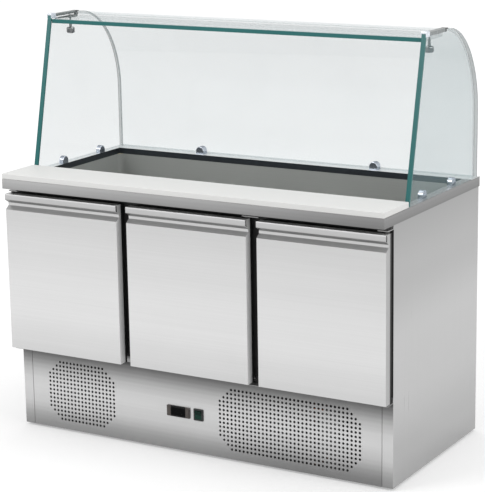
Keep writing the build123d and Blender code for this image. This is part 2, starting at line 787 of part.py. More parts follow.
def make_controller():
    """Temperature controller: case with a front frame, black window and two keys."""
    y = FRONT_Y
    case = Pos(CONTROLLER_X, y + CASE_DEPTH / 2, CONTROL_Z) * Box(CASE_W, CASE_DEPTH, CASE_H)
    frame = Pos(CONTROLLER_X, y - BEZEL_THICK / 2, CONTROL_Z) * Box(BEZEL_W, BEZEL_THICK, BEZEL_H)
    frame = fillet(frame.edges().filter_by(Axis.Y), BEZEL_CORNER)
    frame = chamfer(frame.edges().group_by(Axis.Y)[0], BEZEL_CHAMFER)
    whole = frame + case
    front = y - BEZEL_THICK
    room = Pos(CONTROLLER_X, front + DISPLAY_THICK / 2, CONTROL_Z)
    whole -= room * Box(DISPLAY_W, DISPLAY_THICK, DISPLAY_H)
    save("display_window", room * Box(DISPLAY_W, DISPLAY_THICK, DISPLAY_H))
    for name, side in (("left", -1), ("right", 1)):
        x = CONTROLLER_X + side * BUTTON_X
        whole -= Pos(x, front + BUTTON_DEPTH / 2, CONTROL_Z) * Box(
            BUTTON_W + 2 * SEAT_GAP, BUTTON_DEPTH, BUTTON_H + 2 * SEAT_GAP)
        depth = BUTTON_DEPTH - BUTTON_ROOM
        key = Pos(x, front - BUTTON_PROUD + (depth + BUTTON_PROUD) / 2, CONTROL_Z) * Box(
            BUTTON_W, depth + BUTTON_PROUD, BUTTON_H)
        key = fillet(key.edges().group_by(Axis.Y)[0], BUTTON_ROUND)
        back = front + depth
        post_end = back + POST_LENGTH
        post = rod_y(x, CONTROL_Z, back, post_end, POST_R)
        whole -= rod_y(x, CONTROL_Z, back, post_end + BUTTON_ROOM, POST_R + FIT)
        save(f"button_{name}", key + post)
    save("controller", whole)


def make_switch():
    """Lit rocker switch in its black frame."""
    y = FRONT_Y
    body = Pos(SWITCH_X, y + SWITCH_BODY_DEPTH / 2, CONTROL_Z) * Box(
        SWITCH_BODY_W, SWITCH_BODY_DEPTH, SWITCH_BODY_H)
    rim = Pos(SWITCH_X, y - SWITCH_RIM / 2, CONTROL_Z) * Box(SWITCH_W, SWITCH_RIM, SWITCH_H)
    rim = fillet(rim.edges().filter_by(Axis.Y), SWITCH_CORNER)
    rim = chamfer(rim.edges().group_by(Axis.Y)[0], SWITCH_CHAMFER)
    room_r = math.hypot(ROCKER_H / 2, ROCKER_PROUD) + SEAT_GAP
    room = Pos(SWITCH_X, y, CONTROL_Z) * Rot(0, 90, 0) * Cylinder(room_r, ROCKER_W + 2 * SEAT_GAP)
    pocket = ROCKER_W / 2 + AXLE_POCKET
    axle_hole = rod_x(y, CONTROL_Z, SWITCH_X - pocket, SWITCH_X + pocket, AXLE_R)
    save("switch_frame", body + rim - room - axle_hole)
    half = ROCKER_H / 2
    proud, dip = ROCKER_PROUD, ROCKER_DIP
    tilt = math.radians(ROCKER_TILT)
    back, narrow = ROCKER_BACK, half * ROCKER_TAPER
    profile = [(-proud, -half), (dip - proud, 0), (-proud, half), (back, narrow), (back, -narrow)]
    turned = []
    for py, pz in profile:
        turned.append((y + py * math.cos(tilt) - pz * math.sin(tilt),
                       CONTROL_Z + py * math.sin(tilt) + pz * math.cos(tilt)))
    x0, x1 = SWITCH_X - ROCKER_W / 2, SWITCH_X + ROCKER_W / 2
    rocker = along_x(outline(*turned), x0, x1)
    rocker += rod_x(y, CONTROL_Z, x0 - AXLE_END, x1 + AXLE_END, AXLE_R - FIT)
    save("rocker_switch", rocker)


def pane_outline():
    """Side view of the canopy's side panes."""
    curve_z = PANE_TOP_Z - CURVE_HEIGHT
    run = Polyline((CURVE_BACK_Y, curve_z), (CURVE_BACK_Y, WORKTOP_Z), (PANE_FOOT_Y, WORKTOP_Z),
                   (PANE_TOP_Y, PANE_TOP_Z), (CURVE_START_Y, PANE_TOP_Z))
    sweep_y = CURVE_BACK_Y - CURVE_START_Y
    arc = EllipticalCenterArc((CURVE_START_Y, curve_z), sweep_y, CURVE_HEIGHT, 0, arc_size=90)
    return make_face(Curve() + [run, arc])


def curve_section(inset):
    """Side view of everything under the bent rear pane's surface, set in by inset."""
    curve_z = PANE_TOP_Z - CURVE_HEIGHT
    back, top = CURVE_BACK_Y - inset, PANE_TOP_Z - inset
    run = Polyline((back, curve_z), (back, WORKTOP_Z), (CURVE_START_Y, WORKTOP_Z),
                   (CURVE_START_Y, top))
    sweep_y = back - CURVE_START_Y
    arc = EllipticalCenterArc((CURVE_START_Y, curve_z), sweep_y, top - curve_z, 0, arc_size=90)
    return make_face(Curve() + [run, arc])


def make_glass():
    """Two side panes, the bent rear pane between them, and the flat shelf on top."""
    side = along_x(pane_outline(), GLASS_IN_X, GLASS_OUT_X)
    save("glass_side_right", side)
    save("glass_side_left", mirrored(side))
    x = GLASS_IN_X - FIT
    outer = along_x(curve_section(REAR_INSET), -x, x)
    inner = along_x(curve_section(REAR_INSET + REAR_GLASS), -x, x)
    flat_top = PANE_TOP_Z - REAR_INSET
    flat = block(-x, x, REAR_PANE_FRONT_Y, CURVE_START_Y, flat_top - REAR_GLASS, flat_top)
    save("glass_rear", outer - inner + flat)
    x = GLASS_IN_X - SHELF_SIDE_GAP
    end_y = REAR_PANE_FRONT_Y + SHELF_LAP
    shelf = block(-x, x, SHELF_FRONT_Y, end_y, SHELF_TOP_Z - SHELF_GLASS, SHELF_TOP_Z)
    for side in (-1, 1):
        shelf -= rod_z(
            side * STUD_X, STUD_Y, SHELF_TOP_Z - SHELF_GLASS, SHELF_TOP_Z, STUD_R + STUD_PLAY)
    save("glass_shelf", shelf)


def clamp_profile():
    """Half-round clamp seen square on, standing at height zero."""
    r = CLAMP_W / 2
    base = Pos(0, (CLAMP_H - r) / 2) * Rectangle(CLAMP_W, CLAMP_H - r)
    dome = Pos(0, CLAMP_H - r) * Circle(r)
    return base + (dome - Pos(0, CLAMP_H - 2 * r) * Rectangle(4 * r, 2 * r))


def make_clamps():
    """Chrome clamps that hold the foot of the glass."""
    clamps = []
    for y in SIDE_CLAMPS_Y:
        clamp = along_x(Pos(y, WORKTOP_Z) * clamp_profile(), WELL_X + SEAT_GAP, GLASS_IN_X)
        clamp = fillet(clamp.edges().group_by(Axis.X)[0].filter_by(GeomType.CIRCLE), CLAMP_ROUND)
        clamps += [clamp, mirrored(clamp)]
    back = CURVE_BACK_Y - REAR_INSET - REAR_GLASS
    for x in (-REAR_CLAMP_X, REAR_CLAMP_X):
        face = Plane(origin=(x, back, WORKTOP_Z), x_dir=(1, 0, 0), z_dir=(0, -1, 0)) * clamp_profile()
        clamp = extrude(face, amount=REAR_CLAMP_DEPTH)
        bend = clamp.edges().group_by(Axis.Y)[0].filter_by(GeomType.CIRCLE)
        clamps.append(fillet(bend, CLAMP_ROUND))
    save("glass_clamps", *clamps)


def make_canopy_brackets():
    """Channels hooked over the side panes, each with a rail on the shelf and a stud that carries it."""
    x0, x1 = GLASS_IN_X - CHEEK, GLASS_OUT_X + CHEEK
    plate_top = PANE_TOP_Z + CHANNEL_PLATE
    cap_y0 = PANE_TOP_Y - CAP_START
    cap_y1 = cap_y0 + CAP_LENGTH
    cheek_y1 = REAR_PANE_FRONT_Y - PAST
    cap = block(x0, x1, cap_y0, cap_y1, PANE_TOP_Z - CAP_DROP, PANE_TOP_Z + CAP_RISE)
    bracket = fillet(cap.edges().group_by(Axis.Z)[-1], CAP_CORNER)
    bracket += block(x0, x1, cap_y1, END_Y, PANE_TOP_Z, plate_top)
    bracket += block(x0, GLASS_IN_X, cap_y1, cheek_y1, PANE_TOP_Z - CHEEK_DROP, PANE_TOP_Z)
    bracket += block(GLASS_OUT_X, x1, cap_y1, cheek_y1, PANE_TOP_Z - CHANNEL_DROP, PANE_TOP_Z)
    bracket += rod_x(END_Y, PANE_TOP_Z, x0, x1, CHANNEL_PLATE)
    bracket -= block(x0 - PAST, x1 + PAST, cheek_y1, END_Y + CHANNEL_PLATE, SHELF_TOP_Z, PANE_TOP_Z)
    bracket -= block(GLASS_IN_X, GLASS_OUT_X, cap_y0, END_Y + CHANNEL_PLATE, SHELF_TOP_Z, PANE_TOP_Z)

    rail_top = SHELF_TOP_Z + TAB_THICK
    rail_x0, rail_x1 = x0 - RAIL_W, GLASS_IN_X
    bracket += block(rail_x0, rail_x1, cap_y1 - RAIL_HOLD, RAIL_END_Y, SHELF_TOP_Z, rail_top)
    bracket += rod_x(RAIL_END_Y, SHELF_TOP_Z + RAIL_BOSS_R, rail_x0, rail_x1, RAIL_BOSS_R)
    stud_end = SHELF_TOP_Z - SHELF_GLASS - KNOB_NECK - KNOB_BORE + STUD_SHORT
    bracket += block(x0 - TAB_REACH, x0, STUD_Y - TAB_W / 2, STUD_Y + TAB_W / 2, SHELF_TOP_Z, rail_top)
    bracket += rod_z(STUD_X, STUD_Y, stud_end, rail_top, STUD_R)
    bracket += rod_z(STUD_X, STUD_Y, rail_top, rail_top + STUD_HEAD, STUD_HEAD_R)
    save("canopy_brackets", bracket, mirrored(bracket))


def make_knobs():
    """Thumb nuts under the shelf, on a long neck."""
    under = SHELF_TOP_Z - SHELF_GLASS - SEAT_GAP
    head_top = under - KNOB_NECK
    for name, side in (("left", -1), ("right", 1)):
        x = side * STUD_X
        knob = rod_z(x, STUD_Y, head_top - KNOB_H, head_top, KNOB_R)
        knob = fillet(knob.edges().filter_by(GeomType.CIRCLE), KNOB_ROUND)
        knob += rod_z(x, STUD_Y, head_top - PAST, under, KNOB_NECK_R)
        bore = rod_z(x, STUD_Y, head_top - KNOB_BORE, under, STUD_R + FIT)
        save(f"shelf_knob_{name}", knob - bore)


def shelf_span(index):
    """Left and right side of the shelf behind a door."""
    x0, x1 = opening_span(index)
    return x0 + SHELF_SIDE_CLEAR, x1 - SHELF_SIDE_CLEAR


def make_shelves():
    """Wire shelves: a round rim, cross bars, and close wires from front to back."""
    y0, y1 = WELL_FRONT_Y + SHELF_SIDE_CLEAR, SHELF_BACK_Y
    for index, name in enumerate(DOOR_NAMES):
        x0, x1 = shelf_span(index)
        left, right = x0 + RIM_R, x1 - RIM_R
        front, rear = y0 + RIM_R, y1 - RIM_R
        path = Polyline((left, front), (right, front), (right, rear), (left, rear), close=True)
        ring = fillet(path.vertices(), RIM_CORNER)
        section = Plane(origin=((left + right) / 2, front, 0), z_dir=(1, 0, 0)) * Circle(RIM_R)
        rack = Pos(0, 0, SHELF_Z) * sweep(section, path=ring)
        for bar in range(CROSS_BARS):
            y = front + (rear - front) * (bar + 1) / (CROSS_BARS + 1)
            rack += rod_x(y, SHELF_Z, left, right, RIM_R * 0.9)
        count = int((right - left) / WIRE_PITCH)
        step = (right - left) / count
        for wire in range(1, count):
            x = left + wire * step
            rack += rod_y(x, SHELF_Z + RIM_R, front, rear, WIRE_R)
        save(f"wire_shelf_{name}", rack)


def make_shelf_supports():
    """Uprights on the walls and behind the mullions, and the angle runners that carry the shelves."""
    pieces = []
    top = SHELF_Z - RIM_R - SEAT_GAP
    for index in range(DOOR_COUNT):
        for side, edge in zip((-1, 1), shelf_span(index)):
            on_wall = side * (index - (DOOR_COUNT - 1) / 2) > 0
            inner = edge - side * RUNNER_LEG
            outer = edge + side * RUNNER_SHEET
            front = WELL_FRONT_Y + SEAT_GAP
            back = WELL_BACK_Y - (LINER_CORNER if on_wall else SEAT_GAP)
            seat = block(*sorted((inner, outer)), front, back, top - RUNNER_SHEET, top)
            rail_x = sorted((edge + side * SEAT_GAP, outer))
            pieces.append(seat + block(*rail_x, front, back, top, top + RUNNER_LEG))
            if on_wall:
                post_x = sorted((outer, side * WELL_X))
                starts = (front + POST_W, back - 2 * POST_W)
                depth = POST_W
            else:
                post_x = sorted((outer, outer + side * POST_W))
                starts = (WELL_FRONT_Y, WELL_BACK_Y - POST_DEPTH)
                depth = POST_DEPTH
            pieces += [block(*post_x, y, y + depth, FLOOR_Z, POST_TOP) for y in starts]
    save("shelf_supports", *pieces)


def fin_block(x0, x1, y0, y1, z0, z1, rows, columns):
    """Finned coil: thin plates on a grid of tubes, with thicker end plates."""
    count = int((x1 - x0) / FIN_PITCH)
    step = (x1 - x0) / count
    fins = []
    for index in range(count + 1):
        thick = FIN_SHEET * (2 if index in (0, count) else 1)
        x = x0 + index * step
        fins.append(block(x - thick / 2, x + thick / 2, y0, y1, z0, z1))
    tubes = []
    for row in range(rows):
        for column in range(columns):
            y = y0 + (y1 - y0) * (column + 0.5) / columns
            z = z0 + (z1 - z0) * (row + 0.5) / rows
            tubes.append(rod_x(y, z, x0 - TUBE_END, x1 + TUBE_END, TUBE_R))
    return fins[0].fuse(*fins[1:], *tubes)


def fan(x, y0, z, radius, depth, hub_r, blades):
    """Axial fan on a shaft along Y."""
    hub = Cylinder(hub_r, depth)
    rotor = hub
    length = radius - hub_r
    plate = Rot(BLADE_TURN, 0, 0) * Box(length + 2 * PAST, radius * BLADE_CHORD, BLADE_THICK)
    for index in range(blades):
        rotor += Rot(0, 0, index * 360 / blades) * Pos(hub_r + length / 2 - PAST, 0, 0) * plate
    rotor &= Cylinder(radius, depth * 3)
    rotor &= Box(4 * radius, 4 * radius, depth)
    rotor -= Cylinder(SHAFT_R + FIT, depth * 2)
    return Pos(x, y0 + depth / 2, z) * Rot(90, 0, 0) * rotor


def coil_port_heights():
    """Heights of the evaporator's two tube ends that the lines join."""
    return [EVAP_Z0 + EVAP_H * (row + 0.5) / EVAP_ROWS for row in (0, 1)]


def coil_port_y():
    """Depth of the evaporator's front column of tubes."""
    return WELL_BACK_Y - EVAP_DEPTH * 0.75


def make_evaporator():
    """Cooling coil with its fan, motor and cover, hung on the rear wall."""
    x0, x1 = EVAP_X - EVAP_HALF, EVAP_X + EVAP_HALF
    z0, z1 = EVAP_Z0, EVAP_Z0 + EVAP_H
    y1 = WELL_BACK_Y
    y0 = y1 - EVAP_DEPTH
    coil = fin_block(x0, x1, y0, y1, z0, z1, EVAP_ROWS, 2)
    save("evaporator_coil", coil)

    front = y1 - COVER_DEPTH
    zc = (z0 + z1) / 2
    m, t = COVER_MARGIN, COVER_SHEET
    cover = block(x0 - m, x1 + m, front, y1, z0 - m, z1 + m)
    cover = fillet(cover.edges().group_by(Axis.Y)[0], 2 * t)
    cover -= block(x0 - m + t, x1 + m - t, front + t, y1, z0 - m + t, z1 + m - t)
    hole_r = EVAP_FAN_R + EVAP_FAN_AIR
    cover -= rod_y(EVAP_X, zc, front - PAST, front + t + PAST, hole_r)
    guard_y = (front, front + t)
    for radius in GUARD_RINGS:
        ring = rod_y(EVAP_X, zc, *guard_y, radius)
        cover += ring - rod_y(EVAP_X, zc, *guard_y, radius - GUARD_WIRE)
    for turn in GUARD_TURNS:
        arm = Rot(0, turn, 0) * Box(2 * (hole_r + t), t, GUARD_WIRE)
        cover += Pos(EVAP_X, front + t / 2, zc) * arm
    for side in (-1, 1):
        for row in range(VENT_ROWS):
            z = z0 + VENT_LOW + row * VENT_PITCH
            cover -= Pos(EVAP_X + side * (EVAP_HALF - VENT_IN), front, z) * Box(VENT_W, 4 * t, VENT_H)
    dx, dy = drain_place()
    cover -= rod_z(dx, dy, z0 - m - PAST, z0 - m + t + PAST, DRAIN_R - DRAIN_WALL)
    for z in coil_port_heights():
        cover -= rod_x(coil_port_y(), z, x1 + m - 2 * t, x1 + m + t, PIPE_R + CUTOUT_CLEARANCE)
    save("evaporator_cover", cover)

    fan_y = front + t + EVAP_FAN_STANDOFF
    fan_r = EVAP_FAN_R - EVAP_FAN_AIR / 2
    save("evaporator_fan", fan(EVAP_X, fan_y, zc, fan_r, EVAP_FAN_DEPTH, EVAP_HUB_R, EVAP_BLADES))
    motor_y = y0 - EVAP_MOTOR_L
    motor = rod_y(EVAP_X, zc, motor_y, y0, EVAP_MOTOR_R)
    motor += rod_y(EVAP_X, zc, fan_y, motor_y, SHAFT_R)
    strap = Box(STRAP_W, STRAP_THICK, EVAP_H + 2 * m - 2 * t)
    motor += Pos(EVAP_X, y0 - STRAP_THICK / 2, zc) * strap
    save("evaporator_fan_motor", motor)


def make_condenser():
    """Condenser coil with shroud, fan and motor behind the right-hand field of holes."""
    x0, x1 = COND_X - COND_HALF, COND_X + COND_HALF
    z0, z1 = TRAY_Z, TRAY_Z + COND_H
    y0, y1 = COND_FRONT_Y, COND_FRONT_Y + COND_DEPTH
    zc = (z0 + z1) / 2
    save("condenser_coil", fin_block(x0, x1, y0, y1, z0, z1, COND_ROWS, 2))

    fan_end = y1 + COND_FAN_DEPTH
    bore_r = COND_FAN_R + COND_FAN_AIR
    shroud = block(x0 - SHROUD_LAP, x1 + SHROUD_LAP, y1, y1 + SHROUD_SHEET, z0, z1)
    shroud += rod_y(COND_X, zc, y1 + SHROUD_SHEET, fan_end, bore_r + SHROUD_SHEET)
    shroud -= rod_y(COND_X, zc, y1 - PAST, fan_end + PAST, bore_r)
    arm_end = fan_end + SHROUD_ARM_THICK
    for turn in SHROUD_TURNS:
        arm = Rot(0, turn, 0) * Box(2 * bore_r + SHROUD_SHEET, SHROUD_ARM_THICK, SHROUD_ARM_W)
        shroud += Pos(COND_X, (fan_end + arm_end) / 2, zc) * arm
    shroud -= rod_y(COND_X, zc, fan_end - PAST, arm_end + PAST, SHROUD_BORE_R)
    save("condenser_shroud", shroud)

    fan_y = y1 + COND_FAN_AIR
    depth = COND_FAN_DEPTH - 2 * COND_FAN_AIR
    save("condenser_fan", fan(COND_X, fan_y, zc, COND_FAN_R, depth, COND_HUB_R, COND_BLADES))
    motor = rod_y(COND_X, zc, arm_end, arm_end + COND_MOTOR_L, COND_MOTOR_R)
    back_edge = motor.edges().filter_by(GeomType.CIRCLE).group_by(Axis.Y)[-1]
    motor = fillet(back_edge, COND_MOTOR_ROUND)
    motor += rod_y(COND_X, zc, fan_y, arm_end, SHAFT_R)
    foot_y = arm_end + COND_MOTOR_L / 2
    motor += block(
        COND_X - PEDESTAL_W / 2, COND_X + PEDESTAL_W / 2,
        foot_y - PEDESTAL_DEPTH / 2, foot_y + PEDESTAL_DEPTH / 2, TRAY_Z, zc,
    )
    save("condenser_fan_motor", motor)


def make_compressor():
    """Hermetic compressor on four rubber mounts."""
    z0 = TRAY_Z + COMP_FOOT_Z
    middle = z0 + COMP_H / 2
    shell = rod_z(COMP_X, COMP_Y, z0, z0 + COMP_H, COMP_R)
    shell = fillet(shell.edges().filter_by(GeomType.CIRCLE).group_by(Axis.Z)[-1], COMP_CROWN)
    shell = fillet(shell.edges().filter_by(GeomType.CIRCLE).group_by(Axis.Z)[0], COMP_HEEL)
    shell += rod_z(COMP_X, COMP_Y, middle, middle + COMP_SEAM, COMP_R + COMP_SEAM)
    plate = Box(COMP_PLATE_W, COMP_PLATE_DEPTH, COMP_PLATE)
    shell += Pos(COMP_X, COMP_Y, z0 + COMP_PLATE / 2) * plate
    side = COMP_X - COMP_R
    shell += block(
        side - TERMINAL_OUT, side + TERMINAL_IN, COMP_Y - TERMINAL_W / 2, COMP_Y + TERMINAL_W / 2,
        z0 + TERMINAL_LOW, z0 + TERMINAL_LOW + TERMINAL_H,
    )
    mounts = []
    for sx in (-1, 1):
        for sy in (-1, 1):
            x, y = COMP_X + sx * MOUNT_X, COMP_Y + sy * MOUNT_Y
            mounts.append(rod_z(x, y, TRAY_Z, z0, MOUNT_R))
    save("compressor", shell, *mounts)


def pipe(points):
    """Refrigerant tube along straight runs joined by arcs."""
    path = FilletPolyline(*points, radius=PIPE_BEND)
    return sweep(Plane(origin=path @ 0, z_dir=path % 0) * Circle(PIPE_R), path=path)


def make_pipes():
    """Refrigerant lines and the melt-water drain."""
    (sx, sy), (lx, ly) = riser_places()
    low, high = coil_port_heights()
    coil_x = EVAP_X + EVAP_HALF + TUBE_END
    comp_z = TRAY_Z + COMP_FOOT_Z + COMP_H
    inlet_x, outlet_x = COMP_X + COMP_PORT, COMP_X - COMP_PORT
    cond_x = COND_X + COND_HALF + TUBE_END
    cond_y = COND_FRONT_Y + COND_DEPTH * 0.25
    in_z = TRAY_Z + COND_H * (COND_ROWS - 0.5) / COND_ROWS
    out_z = TRAY_Z + COND_H * 0.5 / COND_ROWS
    down_x, down_y = cond_x + LIQUID_OUT, cond_y + 3 * LIQUID_OUT

    suction = pipe([
        (coil_x, sy, high), (sx, sy, high), (sx, sy, SUCTION_Z), (inlet_x, sy, SUCTION_Z),
        (inlet_x, COMP_Y, SUCTION_Z), (inlet_x, COMP_Y, comp_z),
    ])
    discharge = pipe([
        (outlet_x, COMP_Y, comp_z), (outlet_x, COMP_Y, DISCHARGE_Z), (outlet_x, cond_y, DISCHARGE_Z),
        (outlet_x, cond_y, in_z), (cond_x, cond_y, in_z),
    ])
    liquid = pipe([
        (cond_x, cond_y, out_z), (down_x, cond_y, out_z), (down_x, down_y, out_z),
        (down_x, down_y, LIQUID_Z), (down_x, ly, LIQUID_Z), (lx, ly, LIQUID_Z),
        (lx, ly, low), (coil_x, ly, low),
    ])
    dx, dy = drain_place()
    drain_end = TRAY_Z + DRIP_H + DRAIN_AIR
    drain = rod_z(dx, dy, drain_end, EVAP_Z0 - COVER_MARGIN, DRAIN_R)
    drain -= rod_z(dx, dy, drain_end - PAST, EVAP_Z0, DRAIN_R - DRAIN_WALL)
    save("pipework", suction, discharge, liquid, drain)


def make_drip_tray():
    """Open tray that catches and dries off the melt water."""
    dx, dy = drain_place()
    x0, x1 = dx - DRIP_W / 2, dx + DRIP_W / 2
    y1 = dy + DRIP_BEHIND
    y0 = y1 - DRIP_D
    t, top = DRIP_WALL, TRAY_Z + DRIP_H
    tray = block(x0, x1, y0, y1, TRAY_Z, top)
    tray = fillet(tray.edges().filter_by(Axis.Z), DRIP_CORNER)
    room = block(x0 + t, x1 - t, y0 + t, y1 - t, TRAY_Z + t, top)
    room = fillet(room.edges().filter_by(Axis.Z), DRIP_CORNER - t)
    save("drip_tray", tray - room)


def make_cable_gland():
    """Gland in the back panel where the mains lead would enter."""
    y = INNER_BACK_Y + SKIN
    inner, outer = y - GLAND_IN, BACK_Y + GLAND_OUT
    gland = rod_y(GLAND_X, GLAND_Z, y, outer, GLAND_R)
    gland += rod_y(GLAND_X, GLAND_Z, inner, y, GLAND_THREAD_R)
    gland += rod_y(GLAND_X, GLAND_Z, inner, inner + GLAND_NUT, GLAND_R)
    save("cable_gland", gland - rod_y(GLAND_X, GLAND_Z, inner - PAST, outer + PAST, GLAND_BORE))


def main():
    """Makes every sub-part of the table."""
    os.makedirs("parts", exist_ok=True)
    make_worktop()
    make_cutting_board()
    make_side_panels()
    make_back_panel()
    make_base_tray()
    make_feet()
    make_deck()
    make_foam()
    make_liner()
    make_front_frame()
    make_frame_trim()
    make_grille_panel()
    for name in DOOR_NAMES:
        make_door(name)
    make_hinge_brackets()
    make_hinge_screws()
    make_controller()
    make_switch()
    make_glass()
    make_clamps()
    make_canopy_brackets()
    make_knobs()
    make_shelves()
    make_shelf_supports()
    make_evaporator()
    make_condenser()
    make_compressor()
    make_pipes()
    make_drip_tray()
    make_cable_gland()


main()
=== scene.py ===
"""Looks for a refrigerated prep table with three doors and a curved glass canopy."""

import json
import logging
import math
from dataclasses import dataclass
from enum import Enum
from typing import Callable, Sequence, Union

import bmesh
import bpy
from mathutils import Matrix, Vector

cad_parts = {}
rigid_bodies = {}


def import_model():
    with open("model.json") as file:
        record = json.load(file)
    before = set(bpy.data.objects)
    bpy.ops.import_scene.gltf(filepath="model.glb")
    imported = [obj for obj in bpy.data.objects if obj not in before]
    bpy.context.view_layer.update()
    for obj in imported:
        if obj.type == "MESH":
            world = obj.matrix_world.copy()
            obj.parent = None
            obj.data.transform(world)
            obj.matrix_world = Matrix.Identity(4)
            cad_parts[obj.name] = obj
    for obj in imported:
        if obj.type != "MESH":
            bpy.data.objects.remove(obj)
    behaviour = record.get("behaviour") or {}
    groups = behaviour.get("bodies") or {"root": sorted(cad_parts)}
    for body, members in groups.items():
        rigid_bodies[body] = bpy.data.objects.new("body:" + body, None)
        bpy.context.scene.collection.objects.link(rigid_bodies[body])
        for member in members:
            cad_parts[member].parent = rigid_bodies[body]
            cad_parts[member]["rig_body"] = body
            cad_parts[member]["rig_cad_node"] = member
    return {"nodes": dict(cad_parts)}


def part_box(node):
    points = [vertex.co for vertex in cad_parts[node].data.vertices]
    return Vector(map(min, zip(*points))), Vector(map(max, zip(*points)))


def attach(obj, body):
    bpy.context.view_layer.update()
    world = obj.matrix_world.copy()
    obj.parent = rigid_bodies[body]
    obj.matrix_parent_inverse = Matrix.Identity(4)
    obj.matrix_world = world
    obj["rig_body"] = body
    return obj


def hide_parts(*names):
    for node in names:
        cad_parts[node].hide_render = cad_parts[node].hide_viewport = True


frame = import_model()

LOG = logging.getLogger("prep_table")
SIDES = ("left", "right")
DOOR_NAMES = ("left", "centre", "right")
FOOT_NAMES = ("front_left", "front_right", "rear_left", "rear_right")
X, Y, Z = range(3)

Number = Union[int, float]
Operand = Union["Signal", Number]
Colour = tuple[float, float, float]
Place = tuple[float, float, float]
Tones = tuple[tuple[float, float], ...]
Stops = Sequence[tuple[float, Sequence[float]]]
Sockets = dict[Union[str, int], object]

WHITE: Colour = (1.0, 1.0, 1.0)
BLACK: Colour = (0.0, 0.0, 0.0)
# A surface looks along an axis where its normal has more than this share along it.
SQUARE = 0.6
# Points nearer to each other than this are one point, in metres.
NEAR = 1e-6
# Faces that turn less than this are one flat face.
FLAT = math.radians(1.0)
# The turn about X that lays an upright primitive along the table's depth.
LYING = math.radians(90.0)
# Height in metres and screen grey on the lower panel and on the folds of the side sheets beside it:
# painted shade under the doors and towards the floor, with a painted light band between.
PANEL_SHADE_TONES: Tones = (
    (0.011, 0.58), (0.022, 0.60), (0.037, 0.63), (0.051, 0.67), (0.066, 0.725), (0.081, 0.77),
    (0.095, 0.80), (0.142, 0.82), (0.171, 0.80), (0.186, 0.76), (0.201, 0.725), (0.215, 0.67),
    (0.230, 0.59), (0.244, 0.51), (0.259, 0.42), (0.272, 0.28),
)


def linear(value: float) -> float:
    """Turns a screen grey from 0 to 1 into the linear value a shader takes."""
    return value / 12.92 if value <= 0.04045 else ((value + 0.055) / 1.055) ** 2.4


def screen_colour(red: float, green: float, blue: float) -> Colour:
    """Turns a screen colour, each part from 0 to 1, into a linear one."""
    return linear(red), linear(green), linear(blue)


def screen_grey(value: float) -> Colour:
    """Turns a screen grey from 0 to 1 into a linear colour."""
    return screen_colour(value, value, value)


def math_method(operation: str) -> Callable[["Signal", Operand], "Signal"]:
    """Makes a method that joins a signal to another value.

    Args:
        operation: The Math node's operation.

    Returns:
        The method.
    """
    def method(self: "Signal", other: Operand) -> "Signal":
        """This signal and the other value, through one Math node."""
        return self.maths(operation, other)

    return method


class Along(Enum):
    """The direction in which sheet metal was brushed, as noise cells a metre along each axis."""

    X = (1.5, 260.0, 260.0)
    Y = (260.0, 1.5, 260.0)
    Z = (260.0, 260.0, 1.5)


class PaneFace(Enum):
    """The kind of pane, by the way its large faces look."""

    SIDE = 0
    BENT = 1
    FLAT = 2


class Kind(Enum):
    """What is picked in edit mode, with its name in the mesh."""

    VERT = "verts"
    EDGE = "edges"
    FACE = "faces"


class Signal:
    """One output of a shader node, usable in sums and comparisons."""

    __add__ = __radd__ = math_method("ADD")
    __sub__ = math_method("SUBTRACT")
    __mul__ = __rmul__ = math_method("MULTIPLY")
    __gt__ = math_method("GREATER_THAN")
    __lt__ = math_method("LESS_THAN")
    most = math_method("MAXIMUM")

    def __init__(self, graph: "Graph", socket: bpy.types.NodeSocket) -> None:
        """Keeps the graph and the socket."""
        self.graph = graph
        self.socket = socket

    def __rsub__(self, other: Number) -> "Signal":
        """A number minus this."""
        return self.maths("MULTIPLY_ADD", -1.0, other)

    def __abs__(self) -> "Signal":
        """This without its sign."""
        return self.maths("ABSOLUTE")

    def maths(self, operation: str, *others: Operand) -> "Signal":
        """Adds a Math node that starts from this signal.

        Args:
            operation: The Math node's operation.
            others: The values or signals that follow this one.

        Returns:
            The node's result.
        """
        values = dict(enumerate((self, *others)))
        return self.graph.node("ShaderNodeMath", {"operation": operation}, values)

    def spread(self, low: float, high: float) -> "Signal":
        """Stretches the span from low to high over zero to one, clamped.

        Args:
            low: The value that becomes zero.
            high: The value that becomes one.

        Returns:
            The stretched signal.
        """
        sockets = {0: self, 1: low, 2: high, 3: 0.0, 4: 1.0}
        return self.graph.node("ShaderNodeMapRange", {"clamp": True}, sockets)

    def held(self, low: float, high: float) -> "Signal":
        """This, held between low and high."""
        return self.spread(low, high) * (high - low) + low

    def swing(self, width: float) -> "Signal":
        """Noise around one half, turned into a swing of this full width around zero."""
        return (self - 0.5) * width


